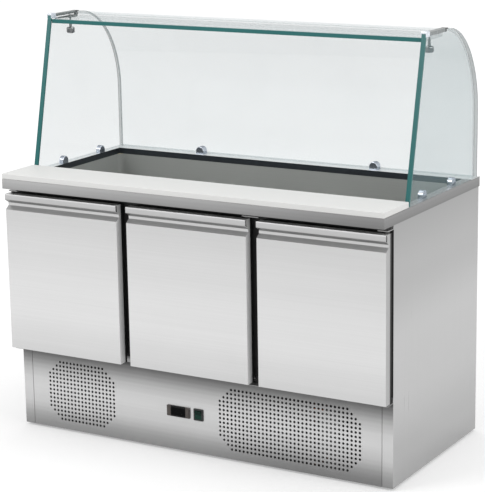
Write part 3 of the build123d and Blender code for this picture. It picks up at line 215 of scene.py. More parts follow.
class Graph:
    """The node tree of one material or of the world, with short calls for what finishes need."""

    def __init__(self, owner: Union[bpy.types.Material, bpy.types.World]) -> None:
        """Starts an empty tree.

        Args:
            owner: The material or world that the tree belongs to.
        """
        self.owner = owner
        owner.use_nodes = True
        self.tree = owner.node_tree
        self.tree.nodes.clear()

    def node(self, kind: str, settings: dict | None = None, sockets: Sockets | None = None,
             out: Union[int, str] = 0) -> Signal:
        """Adds one node.

        Args:
            kind: The node's type.
            settings: Properties, set before the sockets; "stops" holds a ramp's stops.
            sockets: Socket name or number to a value or a signal.
            out: Name or number of the output to return.

        Returns:
            The chosen output.
        """
        made = self.tree.nodes.new(kind)
        for key, value in (settings or {}).items():
            if key == "stops":
                self._set_stops(made.color_ramp, value)
            else:
                setattr(made, key, value)
        for key, value in (sockets or {}).items():
            if isinstance(value, Signal):
                self.tree.links.new(value.socket, made.inputs[key])
            else:
                made.inputs[key].default_value = value
        return Signal(self, made.outputs[out])

    @staticmethod
    def _set_stops(ramp: bpy.types.ColorRamp, stops: Stops) -> None:
        """Fills a colour ramp whose colours ease into each other.

        Args:
            ramp: The ramp.
            stops: Position and colour of each stop.
        """
        ramp.interpolation = "EASE"
        while len(ramp.elements) < len(stops):
            ramp.elements.new(1.0)
        for element, (position, colour) in zip(ramp.elements, stops):
            element.position = position
            element.color = (*colour, 1.0)

    def end(self, shader: Signal) -> bpy.types.ID:
        """Links a shader to the tree's output.

        Args:
            shader: The shader signal.

        Returns:
            The finished material or world.
        """
        kind = "World" if isinstance(self.owner, bpy.types.World) else "Material"
        made = self.tree.nodes.new(f"ShaderNodeOutput{kind}")
        self.tree.links.new(shader.socket, made.inputs["Surface"])
        return self.owner

    def place(self) -> Signal:
        """The point on the piece, in metres."""
        return self.node("ShaderNodeTexCoord", out="Object")

    def at(self, axis: int) -> Signal:
        """How far along an axis the point on the piece lies, in metres."""
        return self.node("ShaderNodeSeparateXYZ", {}, {0: self.place()}, axis)

    def facing(self, axis: int) -> Signal:
        """How much of the surface's normal lies along an axis, from -1 to 1."""
        normal = self.node("ShaderNodeNewGeometry", out="Normal")
        return self.node("ShaderNodeSeparateXYZ", {}, {0: normal}, axis)

    def squarely(self, axis: int) -> Signal:
        """One where the surface looks along an axis, either way."""
        return abs(self.facing(axis)) > SQUARE

    def rays(self) -> tuple[Signal, Signal]:
        """One for rays from the camera itself, and one for rays by way of a mirror or glass."""
        camera, glossy, clear = (self.node("ShaderNodeLightPath", out=f"Is {kind} Ray")
                                 for kind in ("Camera", "Glossy", "Transmission"))
        return camera, glossy.most(clear)

    def noise(self, scale: Union[float, Sequence[float]], detail: float = 2.0) -> Signal:
        """Soft noise around one half.

        Args:
            scale: Cells a metre, one number or one for each axis.
            detail: How many finer layers are added.

        Returns:
            The noise value.
        """
        place = self.place()
        if not isinstance(scale, float):
            place = self.node("ShaderNodeMapping", {"vector_type": "POINT"},
                              {"Vector": place, "Scale": scale})
            scale = 1.0
        sockets = {"Vector": place, "Scale": scale, "Detail": detail}
        return self.node("ShaderNodeTexNoise", {}, sockets)

    def blend(self, share: Operand, first: Union[Signal, Colour], second: Union[Signal, Colour],
              how: str = "MIX") -> Signal:
        """Mixes two colours.

        Args:
            share: How much of the second colour shows.
            first: A colour or a signal.
            second: A colour or a signal.
            how: The Mix node's blend type.

        Returns:
            The mixed colour.
        """
        first, second = (value if isinstance(value, Signal) else (*value, 1.0)
                         for value in (first, second))
        settings = {"data_type": "RGBA", "blend_type": how}
        return self.node("ShaderNodeMix", settings, {0: share, 6: first, 7: second}, out=2)

    def scaled(self, colour: Signal, share: Signal) -> Signal:
        """A colour made darker or lighter by a share."""
        return self.node("ShaderNodeVectorMath", {"operation": "SCALE"},
                         {0: colour, "Scale": share})

    def ramp(self, value: Signal, stops: Stops) -> Signal:
        """Colour by value, through the given stops."""
        return self.node("ShaderNodeValToRGB", {"stops": stops}, {0: value})

    def bump(self, height: Signal, distance: float) -> Signal:
        """A normal that follows a height from 0 to 1, whose full depth is in metres."""
        return self.node("ShaderNodeBump", {},
                         {"Strength": 1.0, "Distance": distance, "Height": height})


@dataclass(frozen=True)
class Finish:
    """What every finish has: a name, and the sockets of its shader.

    Args:
        name: The material's name.
    """

    name: str

    def sockets(self, graph: Graph) -> Sockets:
        """What the Principled shader's sockets get.

        Args:
            graph: The material's graph.

        Returns:
            Socket names to values or signals.
        """
        raise NotImplementedError

    def material(self) -> bpy.types.Material:
        """Builds the material."""
        graph = Graph(bpy.data.materials.new(self.name))
        return graph.end(graph.node("ShaderNodeBsdfPrincipled", {}, self.sockets(graph)))


@dataclass(frozen=True)
class SheetSteel(Finish):
    """Brushed stainless sheet with painted light and shade that changes softly with height.

    Args:
        tones: Height in metres and screen grey of each tone of painted light and shade, from low to
            high.
        brushed: The direction of the brush lines.
        rough: Mean roughness.
        tint: Colour that the greys are multiplied by.
        grain: Depth of the brush lines in metres.
        metal: How metallic it is.
        line_held: Span in which the brush lines' noise is held.
        line_wear: How much the brush lines change the tone.
        line_rough: How much the brush lines change the roughness.
        cloud_scale: Soft clouds a metre.
        cloud_wear: How much the clouds change the tone.
        cloud_rough: How much the clouds change the roughness.
    """

    tones: Tones
    brushed: Along = Along.X
    rough: float = 0.34
    tint: Colour = WHITE
    grain: float = 0.00002
    metal: float = 0.6
    line_held: tuple[float, float] = (0.25, 0.75)
    line_wear: float = 0.10
    line_rough: float = 0.16
    cloud_scale: float = 5.0
    cloud_wear: float = 0.05
    cloud_rough: float = 0.08

    def by(self, graph: Graph, value: Signal, tones: Tones) -> Signal:
        """Colour that follows a length through tones.

        Args:
            graph: The material's graph.
            value: The length in metres.
            tones: Length and screen grey of each tone.

        Returns:
            The colour.
        """
        low, high = tones[0][0], tones[-1][0]
        stops = [((at - low) / (high - low), tuple(linear(grey) * part for part in self.tint))
                 for at, grey in tones]
        return graph.ramp(value.spread(low, high), stops)

    def coloured(self, graph: Graph) -> Signal:
        """Colour before brush lines and wear."""
        return self.by(graph, graph.at(Z), self.tones)

    def metallic(self, graph: Graph) -> Operand:
        """How metallic each point is."""
        return self.metal

    def sockets(self, graph: Graph) -> Sockets:
        """Brush lines and soft clouds over the tones.

        Args:
            graph: The material's graph.

        Returns:
            Socket names to values or signals.
        """
        lines = graph.noise(self.brushed.value, 3.0).held(*self.line_held)
        clouds = graph.noise(self.cloud_scale)
        wear = lines.swing(self.line_wear) + clouds.swing(self.cloud_wear) + 1.0
        rough = lines.swing(self.line_rough) + clouds.swing(self.cloud_rough) + self.rough
        return {"Base Color": graph.scaled(self.coloured(graph), wear), "Roughness": rough,
                "Metallic": self.metallic(graph), "Normal": graph.bump(lines, self.grain)}


@dataclass(frozen=True)
class DoorSteel(SheetSteel):
    """Door sheet, with painted light on its folded sides and painted shade that darkens them
    towards the seal.

    Args:
        side_tones: Depth in metres and screen grey of each tone of painted light and shade on the
            folded sides.
        side_metal: How metallic the folded sides are: less, because they see only a door.
        end: Distance from the table's middle past which a folded side is at the table's end.
        end_shade: How much painted shade darkens a folded side at the table's end.
    """

    side_tones: Tones = ((-0.336, 0.97), (-0.322, 0.95), (-0.308, 0.88))
    side_metal: float = 0.1
    end: float = 0.6815
    end_shade: float = 0.52

    def coloured(self, graph: Graph) -> Signal:
        """Colour before brush lines and wear, with painted light and shade on the folded sides.

        Args:
            graph: The material's graph.

        Returns:
            The colour.
        """
        # Painted shade on the folded sides at the table's ends, over painted light and shade along
        # the sides' depth.
        at_end = abs(graph.at(X)) > self.end
        sides = self.by(graph, graph.at(Y), self.side_tones)
        sides = graph.blend(at_end * self.end_shade, sides, BLACK)
        return graph.blend(graph.squarely(X), super().coloured(graph), sides)

    def metallic(self, graph: Graph) -> Signal:
        """How metallic each point is."""
        return graph.squarely(X) * (self.side_metal - self.metal) + self.metal


@dataclass(frozen=True)
class SideSteel(SheetSteel):
    """Side sheet, whose front fold takes the painted light and shade of the lower panel beside it.
    """

    def coloured(self, graph: Graph) -> Signal:
        """Colour before brush lines and wear."""
        # The front fold gets the lower panel's painted shade under the doors and towards the floor.
        fold = self.by(graph, graph.at(Z), PANEL_SHADE_TONES)
        return graph.blend(graph.facing(Y) < -SQUARE, super().coloured(graph), fold)


@dataclass(frozen=True)
class PanelSteel(SheetSteel):
    """Lower panel, with painted shade that darkens it towards its lower right.

    Args:
        shade: How much the painted shade darkens its corner.
        shade_down: Heights between which it darkens.
        shade_right: Distances right of the middle between which it darkens.
    """

    shade: float = 0.25
    shade_down: tuple[float, float] = (0.13, 0.03)
    shade_right: tuple[float, float] = (0.0, 0.35)

    def coloured(self, graph: Graph) -> Signal:
        """Colour before brush lines and wear."""
        # Painted shade, darkest at the panel's lower right.
        corner = graph.at(Z).spread(*self.shade_down) * graph.at(X).spread(*self.shade_right)
        return graph.blend(corner * self.shade, super().coloured(graph), BLACK)


@dataclass(frozen=True)
class TopSteel(SheetSteel):
    """Worktop sheet with painted light and shade: its apron darkens to the right, its left and rear
    strips are painted pale, its lip dark.

    Args:
        well: Half width, front and back of the well.
        lip: Painted shade on the well's turned-down lip.
        strip: Painted light on the left and rear strips.
        across: Place in metres and screen grey of the painted shade along the apron, darker to the
            right.
        level: Screen grey of painted light on what lies flat.
        sides: Screen grey of painted shade on what looks sideways.
    """

    well: tuple[float, float, float] = (0.6502, -0.2202, 0.2852)
    lip: Colour = screen_colour(0.24, 0.26, 0.28)
    strip: Colour = screen_colour(0.96, 0.97, 0.97)
    across: Tones = ((-0.6825, 1.0), (0.0, 0.92), (0.6825, 0.77))
    level: float = 0.90
    sides: float = 0.76

    def coloured(self, graph: Graph) -> Signal:
        """Colour before brush lines and wear, with painted light and shade on apron, flat strips
        and lip.

        Args:
            graph: The material's graph.

        Returns:
            The colour.
        """
        x, y = graph.at(X), graph.at(Y)
        # Painted shade that darkens the apron to the right, then painted light on flat faces and
        # painted shade on faces that look sideways.
        apron = self.by(graph, x, self.across)
        fade = graph.blend(graph.squarely(Y), screen_grey(self.level), apron)
        fade = graph.blend(graph.squarely(X), fade, screen_grey(self.sides))
        faces = graph.blend(1.0, super().coloured(graph), fade, "MULTIPLY")
        wide, front, back = self.well
        # Painted light on the left and rear flat strips.
        strips = ((x < -wide) * (y > front)).most(y > back) * (graph.facing(Z) > SQUARE)
        faces = graph.blend(strips, faces, self.strip)
        # Painted shade on the well's lip.
        inside = (abs(x) < wide) * (y > front) * (y < back)
        return graph.blend(inside, faces, self.lip)


@dataclass(frozen=True)
class Galvanised(Finish):
    """Zinc coated sheet with its large soft crystals.

    Args:
        grey: Mean screen grey.
        rough: Mean roughness.
        crystals: Crystals a metre.
        cool: Green and blue for one part of red.
    """

    grey: float = 0.66
    rough: float = 0.42
    crystals: float = 95.0
    cool: tuple[float, float] = (1.01, 1.03)

    def sockets(self, graph: Graph) -> Sockets:
        """Crystals of slightly different tone and gloss.

        Args:
            graph: The material's graph.

        Returns:
            Socket names to values or signals.
        """
        cells = graph.node("ShaderNodeTexVoronoi", {"feature": "F1"},
                           {"Vector": graph.place(), "Scale": self.crystals}, "Color")
        shade = graph.node("ShaderNodeSeparateXYZ", {}, {0: cells}, X)
        red = shade.swing(0.09) + graph.noise(9.0).swing(0.06) + linear(self.grey)
        parts = {0: red, 1: red * self.cool[0], 2: red * self.cool[1]}
        return {"Base Color": graph.node("ShaderNodeCombineColor", {}, parts),
                "Roughness": shade.swing(0.2) + self.rough, "Metallic": 0.9}


@dataclass(frozen=True)
class Polished(Finish):
    """Polished plated metal with painted reflection bands: light where it looks up, darker to the
    sides.

    Args:
        reflection_light: Colour of the painted light reflection bands.
        reflection_dark: Colour of the painted dark reflection bands.
        rough: Least roughness.
        smears: Smears a metre.
    """

    reflection_light: Colour
    reflection_dark: Colour
    rough: float = 0.12
    smears: float = 120.0

    def sockets(self, graph: Graph) -> Sockets:
        """Painted reflection bands from looking down to looking up, under faint smears.

        Args:
            graph: The material's graph.

        Returns:
            Socket names to values or signals.
        """
        # Painted reflection of the room, by which way the surface looks.
        bands = graph.ramp(graph.facing(Z).spread(-1.0, 1.0), [
            (0.0, self.reflection_dark), (0.30, self.reflection_light), (0.44, self.reflection_dark),
            (0.62, self.reflection_light), (0.82, self.reflection_light), (1.0, self.reflection_dark),
        ])
        smears = graph.noise(self.smears, 3.0)
        return {"Base Color": bands, "Roughness": smears * 0.10 + self.rough, "Metallic": 1.0}


@dataclass(frozen=True)
class Moulded(Finish):
    """Moulded plastic or enamel with a fine skin and a slight drift of tone.

    Args:
        colour: Its colour.
        rough: Mean roughness.
        skin: Depth of the skin's grain in metres.
        skin_scale: Grains a metre.
        drift: How much darker its clouds are.
        coat: Weight of a clear coat.
        shine: Specular level.
    """

    colour: Colour
    rough: float = 0.5
    skin: float = 0.00003
    skin_scale: float = 900.0
    drift: float = 0.12
    coat: float = 0.0
    shine: float = 0.5

    def sockets(self, graph: Graph) -> Sockets:
        """Soft clouds of tone and gloss on a fine skin.

        Args:
            graph: The material's graph.

        Returns:
            Socket names to values or signals.
        """
        clouds = graph.noise(18.0, 3.0)
        darker = tuple(part * (1.0 - self.drift) for part in self.colour)
        return {"Base Color": graph.blend(clouds.spread(0.3, 0.7), darker, self.colour),
                "Roughness": clouds.swing(0.12) + self.rough, "Coat Weight": self.coat,
                "Coat Roughness": 0.1, "Specular IOR Level": self.shine,
                "Normal": graph.bump(graph.noise(self.skin_scale), self.skin)}


@dataclass(frozen=True)
class BoardPlastic(Finish):
    """White board plastic with faint cuts and a matte sheen.

    Args:
        colour: Its colour.
        along: Noise cells a metre along each axis for cuts along the board.
        over: Noise cells a metre along each axis for cuts across it.
        depth: Depth of cuts and pores in metres.
    """

    colour: Colour
    along: tuple[float, float, float] = (40.0, 700.0, 60.0)
    over: tuple[float, float, float] = (600.0, 55.0, 60.0)
    depth: float = 0.00006

    def sockets(self, graph: Graph) -> Sockets:
        """Cuts both ways, pores and soft clouds.

        Args:
            graph: The material's graph.

        Returns:
            Socket names to values or signals.
        """
        over = graph.noise(self.over).spread(0.69, 0.77)
        cuts = graph.noise(self.along).spread(0.66, 0.74).most(over)
        dull = tuple(part * 0.95 for part in self.colour)
        share = cuts * 0.35 + graph.noise(7.0).swing(0.5) + 0.1
        height = graph.noise(700.0) * 0.35 + (1.0 - cuts) * 0.65
        return {"Base Color": graph.blend(share, self.colour, dull),
                "Roughness": cuts * 0.1 + 0.5, "Normal": graph.bump(height, self.depth)}


@dataclass(frozen=True)
class PaneGlass(Finish):
    """Float glass: faint tint through its faces, full colour along its cut edges.

    Args:
        faces: Which kind of pane it is.
        tint: Colour of the veil on its faces.
        cut: Colour of the ground front edge.
        edge_highlight: Painted highlight in the middle of the other edges.
        edge_shade: Painted shade along the borders of the other edges.
        veil: How much of the tint shows on a face seen square on.
        sheen: How much more shows at a grazing angle.
        foot: Place and height of a side pane's front line at its foot.
        head: Place and height of that line at the pane's top.
        front: Depth of a side pane's ground front edge.
        middle_x: Distance of a side pane's middle from the table's middle.
        border: How far from its middle an edge's dark borders begin.
        shelf_front: Where the shelf's ground front edge ends.
        resting: Height below which an edge stands on the worktop.
        side_solid: How solid a side pane's edges look, apart from its front one.
        bent_solid: How solid the bent pane's edges look.
        flat_solid: How solid the shelf's edges look, apart from its front one.
    """

    faces: PaneFace
    tint: Colour
    cut: Colour
    edge_highlight: Colour
    edge_shade: Colour
    veil: float = 0.10
    sheen: float = 0.03
    foot: tuple[float, float] = (-0.178, 0.852)
    head: tuple[float, float] = (-0.066, 1.350)
    front: float = 0.006
    middle_x: float = 0.6735
    border: float = 0.0046
    shelf_front: float = -0.0540
    resting: float = 0.8525
    side_solid: float = 0.72
    bent_solid: float = 0.45
    flat_solid: float = 0.2

    def edges(self, graph: Graph) -> tuple[Signal, Signal, Operand]:
        """Tells the pane's edges from its faces.

        Args:
            graph: The material's graph.

        Returns:
            Where an edge is, the edge's colour, and how solid it looks.
        """
        y, z = graph.at(Y), graph.at(Z)
        if self.faces is PaneFace.SIDE:
            slope = (self.head[0] - self.foot[0]) / (self.head[1] - self.foot[1])
            front = (y - (z - self.foot[1]) * slope) < self.foot[0] + self.front
            rim = abs(abs(graph.at(X)) - self.middle_x) > self.border
            # Painted highlight in the middle of an edge, painted shade along its borders.
            others = graph.blend(rim, self.edge_highlight, self.edge_shade)
            solid = (front * (1.0 - self.side_solid) + self.side_solid) * (z > self.resting)
            edge = (abs(graph.facing(X)) < SQUARE).most(front)
            return edge, graph.blend(front, others, self.cut), solid
        if self.faces is PaneFace.FLAT:
            front = y < self.shelf_front
            edge = (abs(graph.facing(Z)) < SQUARE).most(front)
            solid = front * (1.0 - self.flat_solid) + self.flat_solid
            return edge, graph.blend(front, self.edge_highlight, self.cut), solid
        upright = graph.squarely(X) * (z > self.resting)
        return upright, graph.blend(upright, self.edge_shade, self.edge_highlight), self.bent_solid

    def sockets(self, graph: Graph) -> Sockets:
        """A veil on the faces, and solid edges.

        Args:
            graph: The material's graph.

        Returns:
            Socket names to values or signals.
        """
        edge, edge_colour, solid = self.edges(graph)
        streaks = graph.noise((900.0, 90.0, 90.0))
        edge_tone = graph.scaled(edge_colour, streaks.swing(0.2) + 1.0)
        grazing = graph.node("ShaderNodeLayerWeight", {}, {"Blend": 0.3}, "Fresnel")
        smears = graph.noise(6.0, 3.0).spread(0.45, 0.8) * 0.012
        face_alpha = grazing * self.sheen + smears + self.veil
        return {"Base Color": graph.blend(edge, self.tint, edge_tone),
                "Roughness": edge * 0.25 + smears * 4.0 + 0.03,
                "Alpha": face_alpha * (1.0 - edge) + edge * solid, "IOR": 1.5}


@dataclass(frozen=True)
class ControllerCase(Finish):
    """Controller front: black round the window, grey-brown caps at its ends.

    Args:
        middle_x: Place of the controller's middle.
        window: Distance from the middle at which a cap begins.
        black: Colour round the window.
        cap: Colour of the caps.
    """

    middle_x: float
    window: float
    black: Colour
    cap: Colour

    def sockets(self, graph: Graph) -> Sockets:
        """Two plain plastics with soft clouds.

        Args:
            graph: The material's graph.

        Returns:
            Socket names to values or signals.
        """
        aside = abs(graph.at(X) - self.middle_x) > self.window
        clouds = graph.noise(60.0)
        base = graph.scaled(graph.blend(aside, self.black, self.cap), clouds.swing(0.2) + 1.0)
        return {"Base Color": base, "Roughness": clouds.swing(0.1) + 0.45,
                "Specular IOR Level": 0.15, "Normal": graph.bump(graph.noise(900.0), 0.00003)}


@dataclass(frozen=True)
class ChannelChrome(Finish):
    """Channel over a side pane: cap in front painted pale as a highlight, grey bar, stop at its end
    painted dark as shade.

    Args:
        cap_end: Where the cap ends.
        end_shade_start: Where the painted shade at the end begins.
        cap: Colour of the cap, a painted highlight.
        bar: Colour of the bar.
        stop: Colour of the stop, painted shade at the channel's end.
    """

    cap_end: float = -0.0425
    end_shade_start: float = 0.0680
    cap: Colour = screen_colour(0.88, 0.90, 0.93)
    bar: Colour = screen_colour(0.52, 0.54, 0.54)
    stop: Colour = screen_colour(0.26, 0.27, 0.27)

    def sockets(self, graph: Graph) -> Sockets:
        """The cap's painted highlight, the grey bar and painted shade at the end, along the
        channel, under faint smears.

        Args:
            graph: The material's graph.

        Returns:
            Socket names to values or signals.
        """
        y = graph.at(Y)
        # Painted highlight on the cap in front, painted shade on the channel's end.
        base = graph.blend(y > self.cap_end, self.cap, self.bar)
        base = graph.blend(y > self.end_shade_start, base, self.stop)
        smears = graph.noise(140.0, 3.0)
        return {"Base Color": graph.scaled(base, smears.swing(0.24) + 1.0),
                "Roughness": smears * 0.12 + 0.2, "Metallic": 0.6}


@dataclass(frozen=True)
class Fins(Finish):
    """Thin aluminium fins with a little dust on them.

    Args:
        grey: Screen grey of clean fins.
        dusty: Colour of the dust.
    """

    grey: float = 0.78
    dusty: Colour = screen_colour(0.55, 0.54, 0.52)

    def sockets(self, graph: Graph) -> Sockets:
        """Clean metal under patches of dust."""
        dust = graph.noise(30.0, 3.0).spread(0.35, 0.75)
        return {"Base Color": graph.blend(dust * 0.5, screen_grey(self.grey), self.dusty),
                "Roughness": dust * 0.25 + 0.3, "Metallic": 0.85}


@dataclass(frozen=True)
class Copper(Finish):
    """Drawn copper tube with a few brown patches.

    Args:
        fresh: Colour of clean copper.
        brown: Colour of the patches.
    """

    fresh: Colour = screen_colour(0.86, 0.56, 0.40)
    brown: Colour = screen_colour(0.52, 0.33, 0.24)

    def sockets(self, graph: Graph) -> Sockets:
        """Clean copper with patches."""
        patches = graph.noise(22.0, 3.0).spread(0.4, 0.7)
        return {"Base Color": graph.blend(patches, self.fresh, self.brown),
                "Roughness": patches * 0.2 + 0.25, "Metallic": 0.95}


@dataclass(frozen=True)
class LitRocker(Finish):
    """Dark green see-through plastic of a lit rocker.

    Args:
        deep: Its own dark green, where it looks down.
        light: Painted highlight where it looks up.
        ribs: Angle that its ribs' wave turns through in a metre, in radians.
        rib_depth: Depth of a rib in metres.
    """

    deep: Colour
    light: Colour
    ribs: float = 2600.0
    rib_depth: float = 0.00008

    def sockets(self, graph: Graph) -> Sockets:
        """Its dark green with a painted highlight where it looks up, over fine level ribs.

        Args:
            graph: The material's graph.

        Returns:
            Socket names to values or signals.
        """
        ripple = (graph.at(Z) * self.ribs).maths("SINE") * 0.5 + 0.5
        # Painted highlight where the rocker looks up.
        up = graph.facing(Z).spread(-0.2, 0.6)
        return {"Base Color": graph.blend(up, self.deep, self.light), "Roughness": 0.16,
                "Specular IOR Level": 0.12, "Normal": graph.bump(ripple, self.rib_depth)}


class Dresser:
    """Keeps each finish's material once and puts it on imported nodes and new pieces."""

    def __init__(self) -> None:
        """Starts with no materials."""
        self.made: dict[str, bpy.types.Material] = {}

    def of(self, finish: Finish) -> bpy.types.Material:
        """Gives a finish's material, built the first time.

        Args:
            finish: The finish.

        Returns:
            The material.
        """
        if finish.name not in self.made:
            self.made[finish.name] = finish.material()
        return self.made[finish.name]

    def nodes(self, finish: Finish, *names: str) -> None:
        """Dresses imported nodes.

        Args:
            finish: The finish they get.
            names: The nodes' names.
        """
        for name in names:
            node = frame["nodes"][name]
            if not node.material_slots:
                node.data.materials.append(self.of(finish))
            for slot in node.material_slots:
                slot.material = self.of(finish)
            LOG.info("dressed %s with %s", name, finish.name)

    def piece(self, finish: Finish, piece: bpy.types.Object) -> None:
        """Dresses a new piece.

        Args:
            finish: The finish it gets.
            piece: The piece.
        """
        piece.data.materials.clear()
        piece.data.materials.append(self.of(finish))
        LOG.info("made %s in %s", piece.name, finish.name)


class Bench:
    """Blender's modelling tools, called for one piece at a time."""

    @staticmethod
    def take(piece: bpy.types.Object) -> None:
        """Selects one piece alone and makes it the active one.

        Args:
            piece: The piece.
        """
        bpy.ops.object.select_all(action="DESELECT")
        piece.select_set(True)
        bpy.context.view_layer.objects.active = piece

    @staticmethod
    def edit(kind: Kind = Kind.VERT, action: str = "SELECT") -> None:
        """Opens the active piece in edit mode.

        Args:
            kind: What is picked from here on.
            action: SELECT to start with everything picked, DESELECT to start with nothing.
        """
        bpy.ops.object.mode_set(mode="EDIT")
        bpy.ops.mesh.select_mode(type=kind.name)
        bpy.ops.mesh.select_all(action=action)

    @staticmethod
    def leave() -> None:
        """Ends edit mode."""
        bpy.ops.object.mode_set(mode="OBJECT")

    @staticmethod
    def copied(node: str, name: str) -> bpy.types.Object:
        """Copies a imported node's mesh into a new piece and merges its triangles.

        Args:
            node: The node's name.
            name: The new piece's name.

        Returns:
            The new piece.
        """
        Bench.take(frame["nodes"][node])
        bpy.ops.object.duplicate()
        made = bpy.context.object
        made.name = name
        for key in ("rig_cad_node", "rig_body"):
            if key in made:
                del made[key]
        made.parent = None
        made.matrix_world = Matrix.Identity(4)
        Bench.edit()
        bpy.ops.mesh.remove_doubles(threshold=NEAR)
        Bench.leave()
        return made

    @staticmethod
    def pick(piece: bpy.types.Object, kind: Kind, test: Callable[[object], bool]) -> int:
        """Selects what passes a test, in edit mode.

        Args:
            piece: The piece in hand.
            kind: What is picked.
            test: Tells of one vertex, edge or face whether it is wanted.

        Returns:
            How many were selected.
        """
        Bench.edit(kind, "DESELECT")
        mesh = bmesh.from_edit_mesh(piece.data)
        wanted = [item for item in getattr(mesh, kind.value) if test(item)]
        for item in wanted:
            item.select_set(True)
        bmesh.update_edit_mesh(piece.data)
        return len(wanted)

    @staticmethod
    def finish(piece: bpy.types.Object, sharp: float) -> None:
        """Merges doubles, turns faces outwards, smooths, and puts the piece's place in its mesh.

        Args:
            piece: The piece.
            sharp: Edges steeper than this many degrees stay sharp.
        """
        Bench.take(piece)
        Bench.edit()
        bpy.ops.mesh.remove_doubles(threshold=NEAR)
        bpy.ops.mesh.normals_make_consistent(inside=False)
        Bench.leave()
        bpy.ops.object.transform_apply(location=True, rotation=True, scale=True)
        bpy.ops.object.shade_smooth_by_angle(angle=math.radians(sharp))
        weighed = piece.modifiers.new("weighed", "WEIGHTED_NORMAL")
        weighed.keep_sharp = True
        bpy.ops.object.modifier_apply(modifier=weighed.name)
        bpy.ops.object.select_all(action="DESELECT")

    @staticmethod
    def joined(pieces: Sequence[bpy.types.Object], name: str) -> bpy.types.Object:
        """Joins pieces into the first one.

        Args:
            pieces: What is joined.
            name: The joined piece's name.

        Returns:
            The joined piece.
        """
        Bench.take(pieces[0])
        for piece in pieces:
            piece.select_set(True)
        bpy.ops.object.join()
        pieces[0].name = name
        return pieces[0]


@dataclass
class DoorSeal:
    """Bellows seal with its magnet strip, on the black carrier round the back of one door.

    Args:
        door: Which door it belongs to.
        reach: How far the seal's outline lies inside the door's outline.
        seat: Where the seal stands on the carrier.
        corner: Outer corner radius.
        sharp: Edges steeper than this many degrees stay sharp.
        profile: Distance from the outline and height over the seat, right round the section.
    """

    door: str
    reach: float = 0.014
    seat: float = -0.298
    corner: float = 0.004
    sharp: float = 50.0
    profile: Tones = (
        (0.0010, 0.0000), (0.0006, 0.0012), (0.0036, 0.0028), (0.0040, 0.0040), (0.0012, 0.0060),
        (0.0010, 0.0074), (0.0036, 0.0090), (0.0040, 0.0100), (0.0006, 0.0112), (0.0002, 0.0120),
        (0.0002, 0.0146), (0.0012, 0.0156), (0.0148, 0.0156), (0.0158, 0.0146), (0.0158, 0.0120),
        (0.0154, 0.0112), (0.0120, 0.0100), (0.0124, 0.0090), (0.0150, 0.0074), (0.0148, 0.0060),
        (0.0120, 0.0040), (0.0124, 0.0028), (0.0154, 0.0012), (0.0150, 0.0000),
    )

    def carrier(self) -> bpy.types.Object:
        """The black carrier frame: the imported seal, cut off at its seat and closed again.

        Returns:
            The carrier.
        """
        piece = Bench.copied(f"door_{self.door}_gasket", f"seal_carrier_{self.door}")
        flat = self.seat + 0.00002
        Bench.pick(piece, Kind.VERT, lambda corner: corner.co.y > flat)
        bpy.ops.mesh.delete(type="VERT")
        Bench.pick(piece, Kind.EDGE, lambda edge: len(edge.link_faces) == 1)
        bpy.ops.mesh.bridge_edge_loops()
        bpy.ops.mesh.select_all(action="SELECT")
        bpy.ops.mesh.dissolve_limited(angle_limit=FLAT)
        Bench.leave()
        return piece

    def bellows(self) -> bpy.types.Object:
        """The seal itself, drawn round the door from its section.

        Returns:
            The bellows.
        """
        low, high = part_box(f"door_{self.door}_gasket")
        middle = (low + high) / 2.0
        wide, tall = high.x - low.x - 2.0 * self.reach, high.z - low.z - 2.0 * self.reach
        steps = [(wide - 2.0 * inset, tall - 2.0 * inset, height)
                 for inset, height in self.profile]
        at = Vector((middle.x, self.seat + steps[0][2], middle.z))
        bpy.ops.mesh.primitive_plane_add(size=1.0, location=at, rotation=(LYING, 0.0, 0.0))
        piece = bpy.context.object
        piece.name = f"seal_bellows_{self.door}"
        piece.scale = (steps[0][0], steps[0][1], 1.0)
        bpy.ops.object.transform_apply(location=False, rotation=True, scale=True)
        Bench.edit(Kind.VERT)
        bpy.ops.mesh.bevel(offset=self.corner, segments=4, affect="VERTICES", profile=0.5)
        Bench.edit(Kind.FACE)
        bpy.ops.mesh.delete(type="ONLY_FACE")
        Bench.edit(Kind.EDGE)
        for before, after in zip(steps, steps[1:] + steps[:1]):
            rise = (0.0, after[2] - before[2], 0.0)
            grown = (after[0] / before[0], 1.0, after[1] / before[1])
            bpy.ops.mesh.extrude_edges_move(TRANSFORM_OT_translate={"value": rise})
            bpy.ops.transform.resize(value=grown, center_override=at)
        Bench.leave()
        return piece

    def build(self) -> bpy.types.Object:
        """Makes the whole seal, which stands for the door's packed seal.

        Returns:
            The seal.
        """
        carrier, bellows = self.carrier(), self.bellows()
        for part in (carrier, bellows):
            Bench.finish(part, self.sharp)
        seal = Bench.joined((carrier, bellows), f"door_seal_{self.door}")
        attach(seal, f"door_{self.door}")
        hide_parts(f"door_{self.door}_gasket")
        return seal


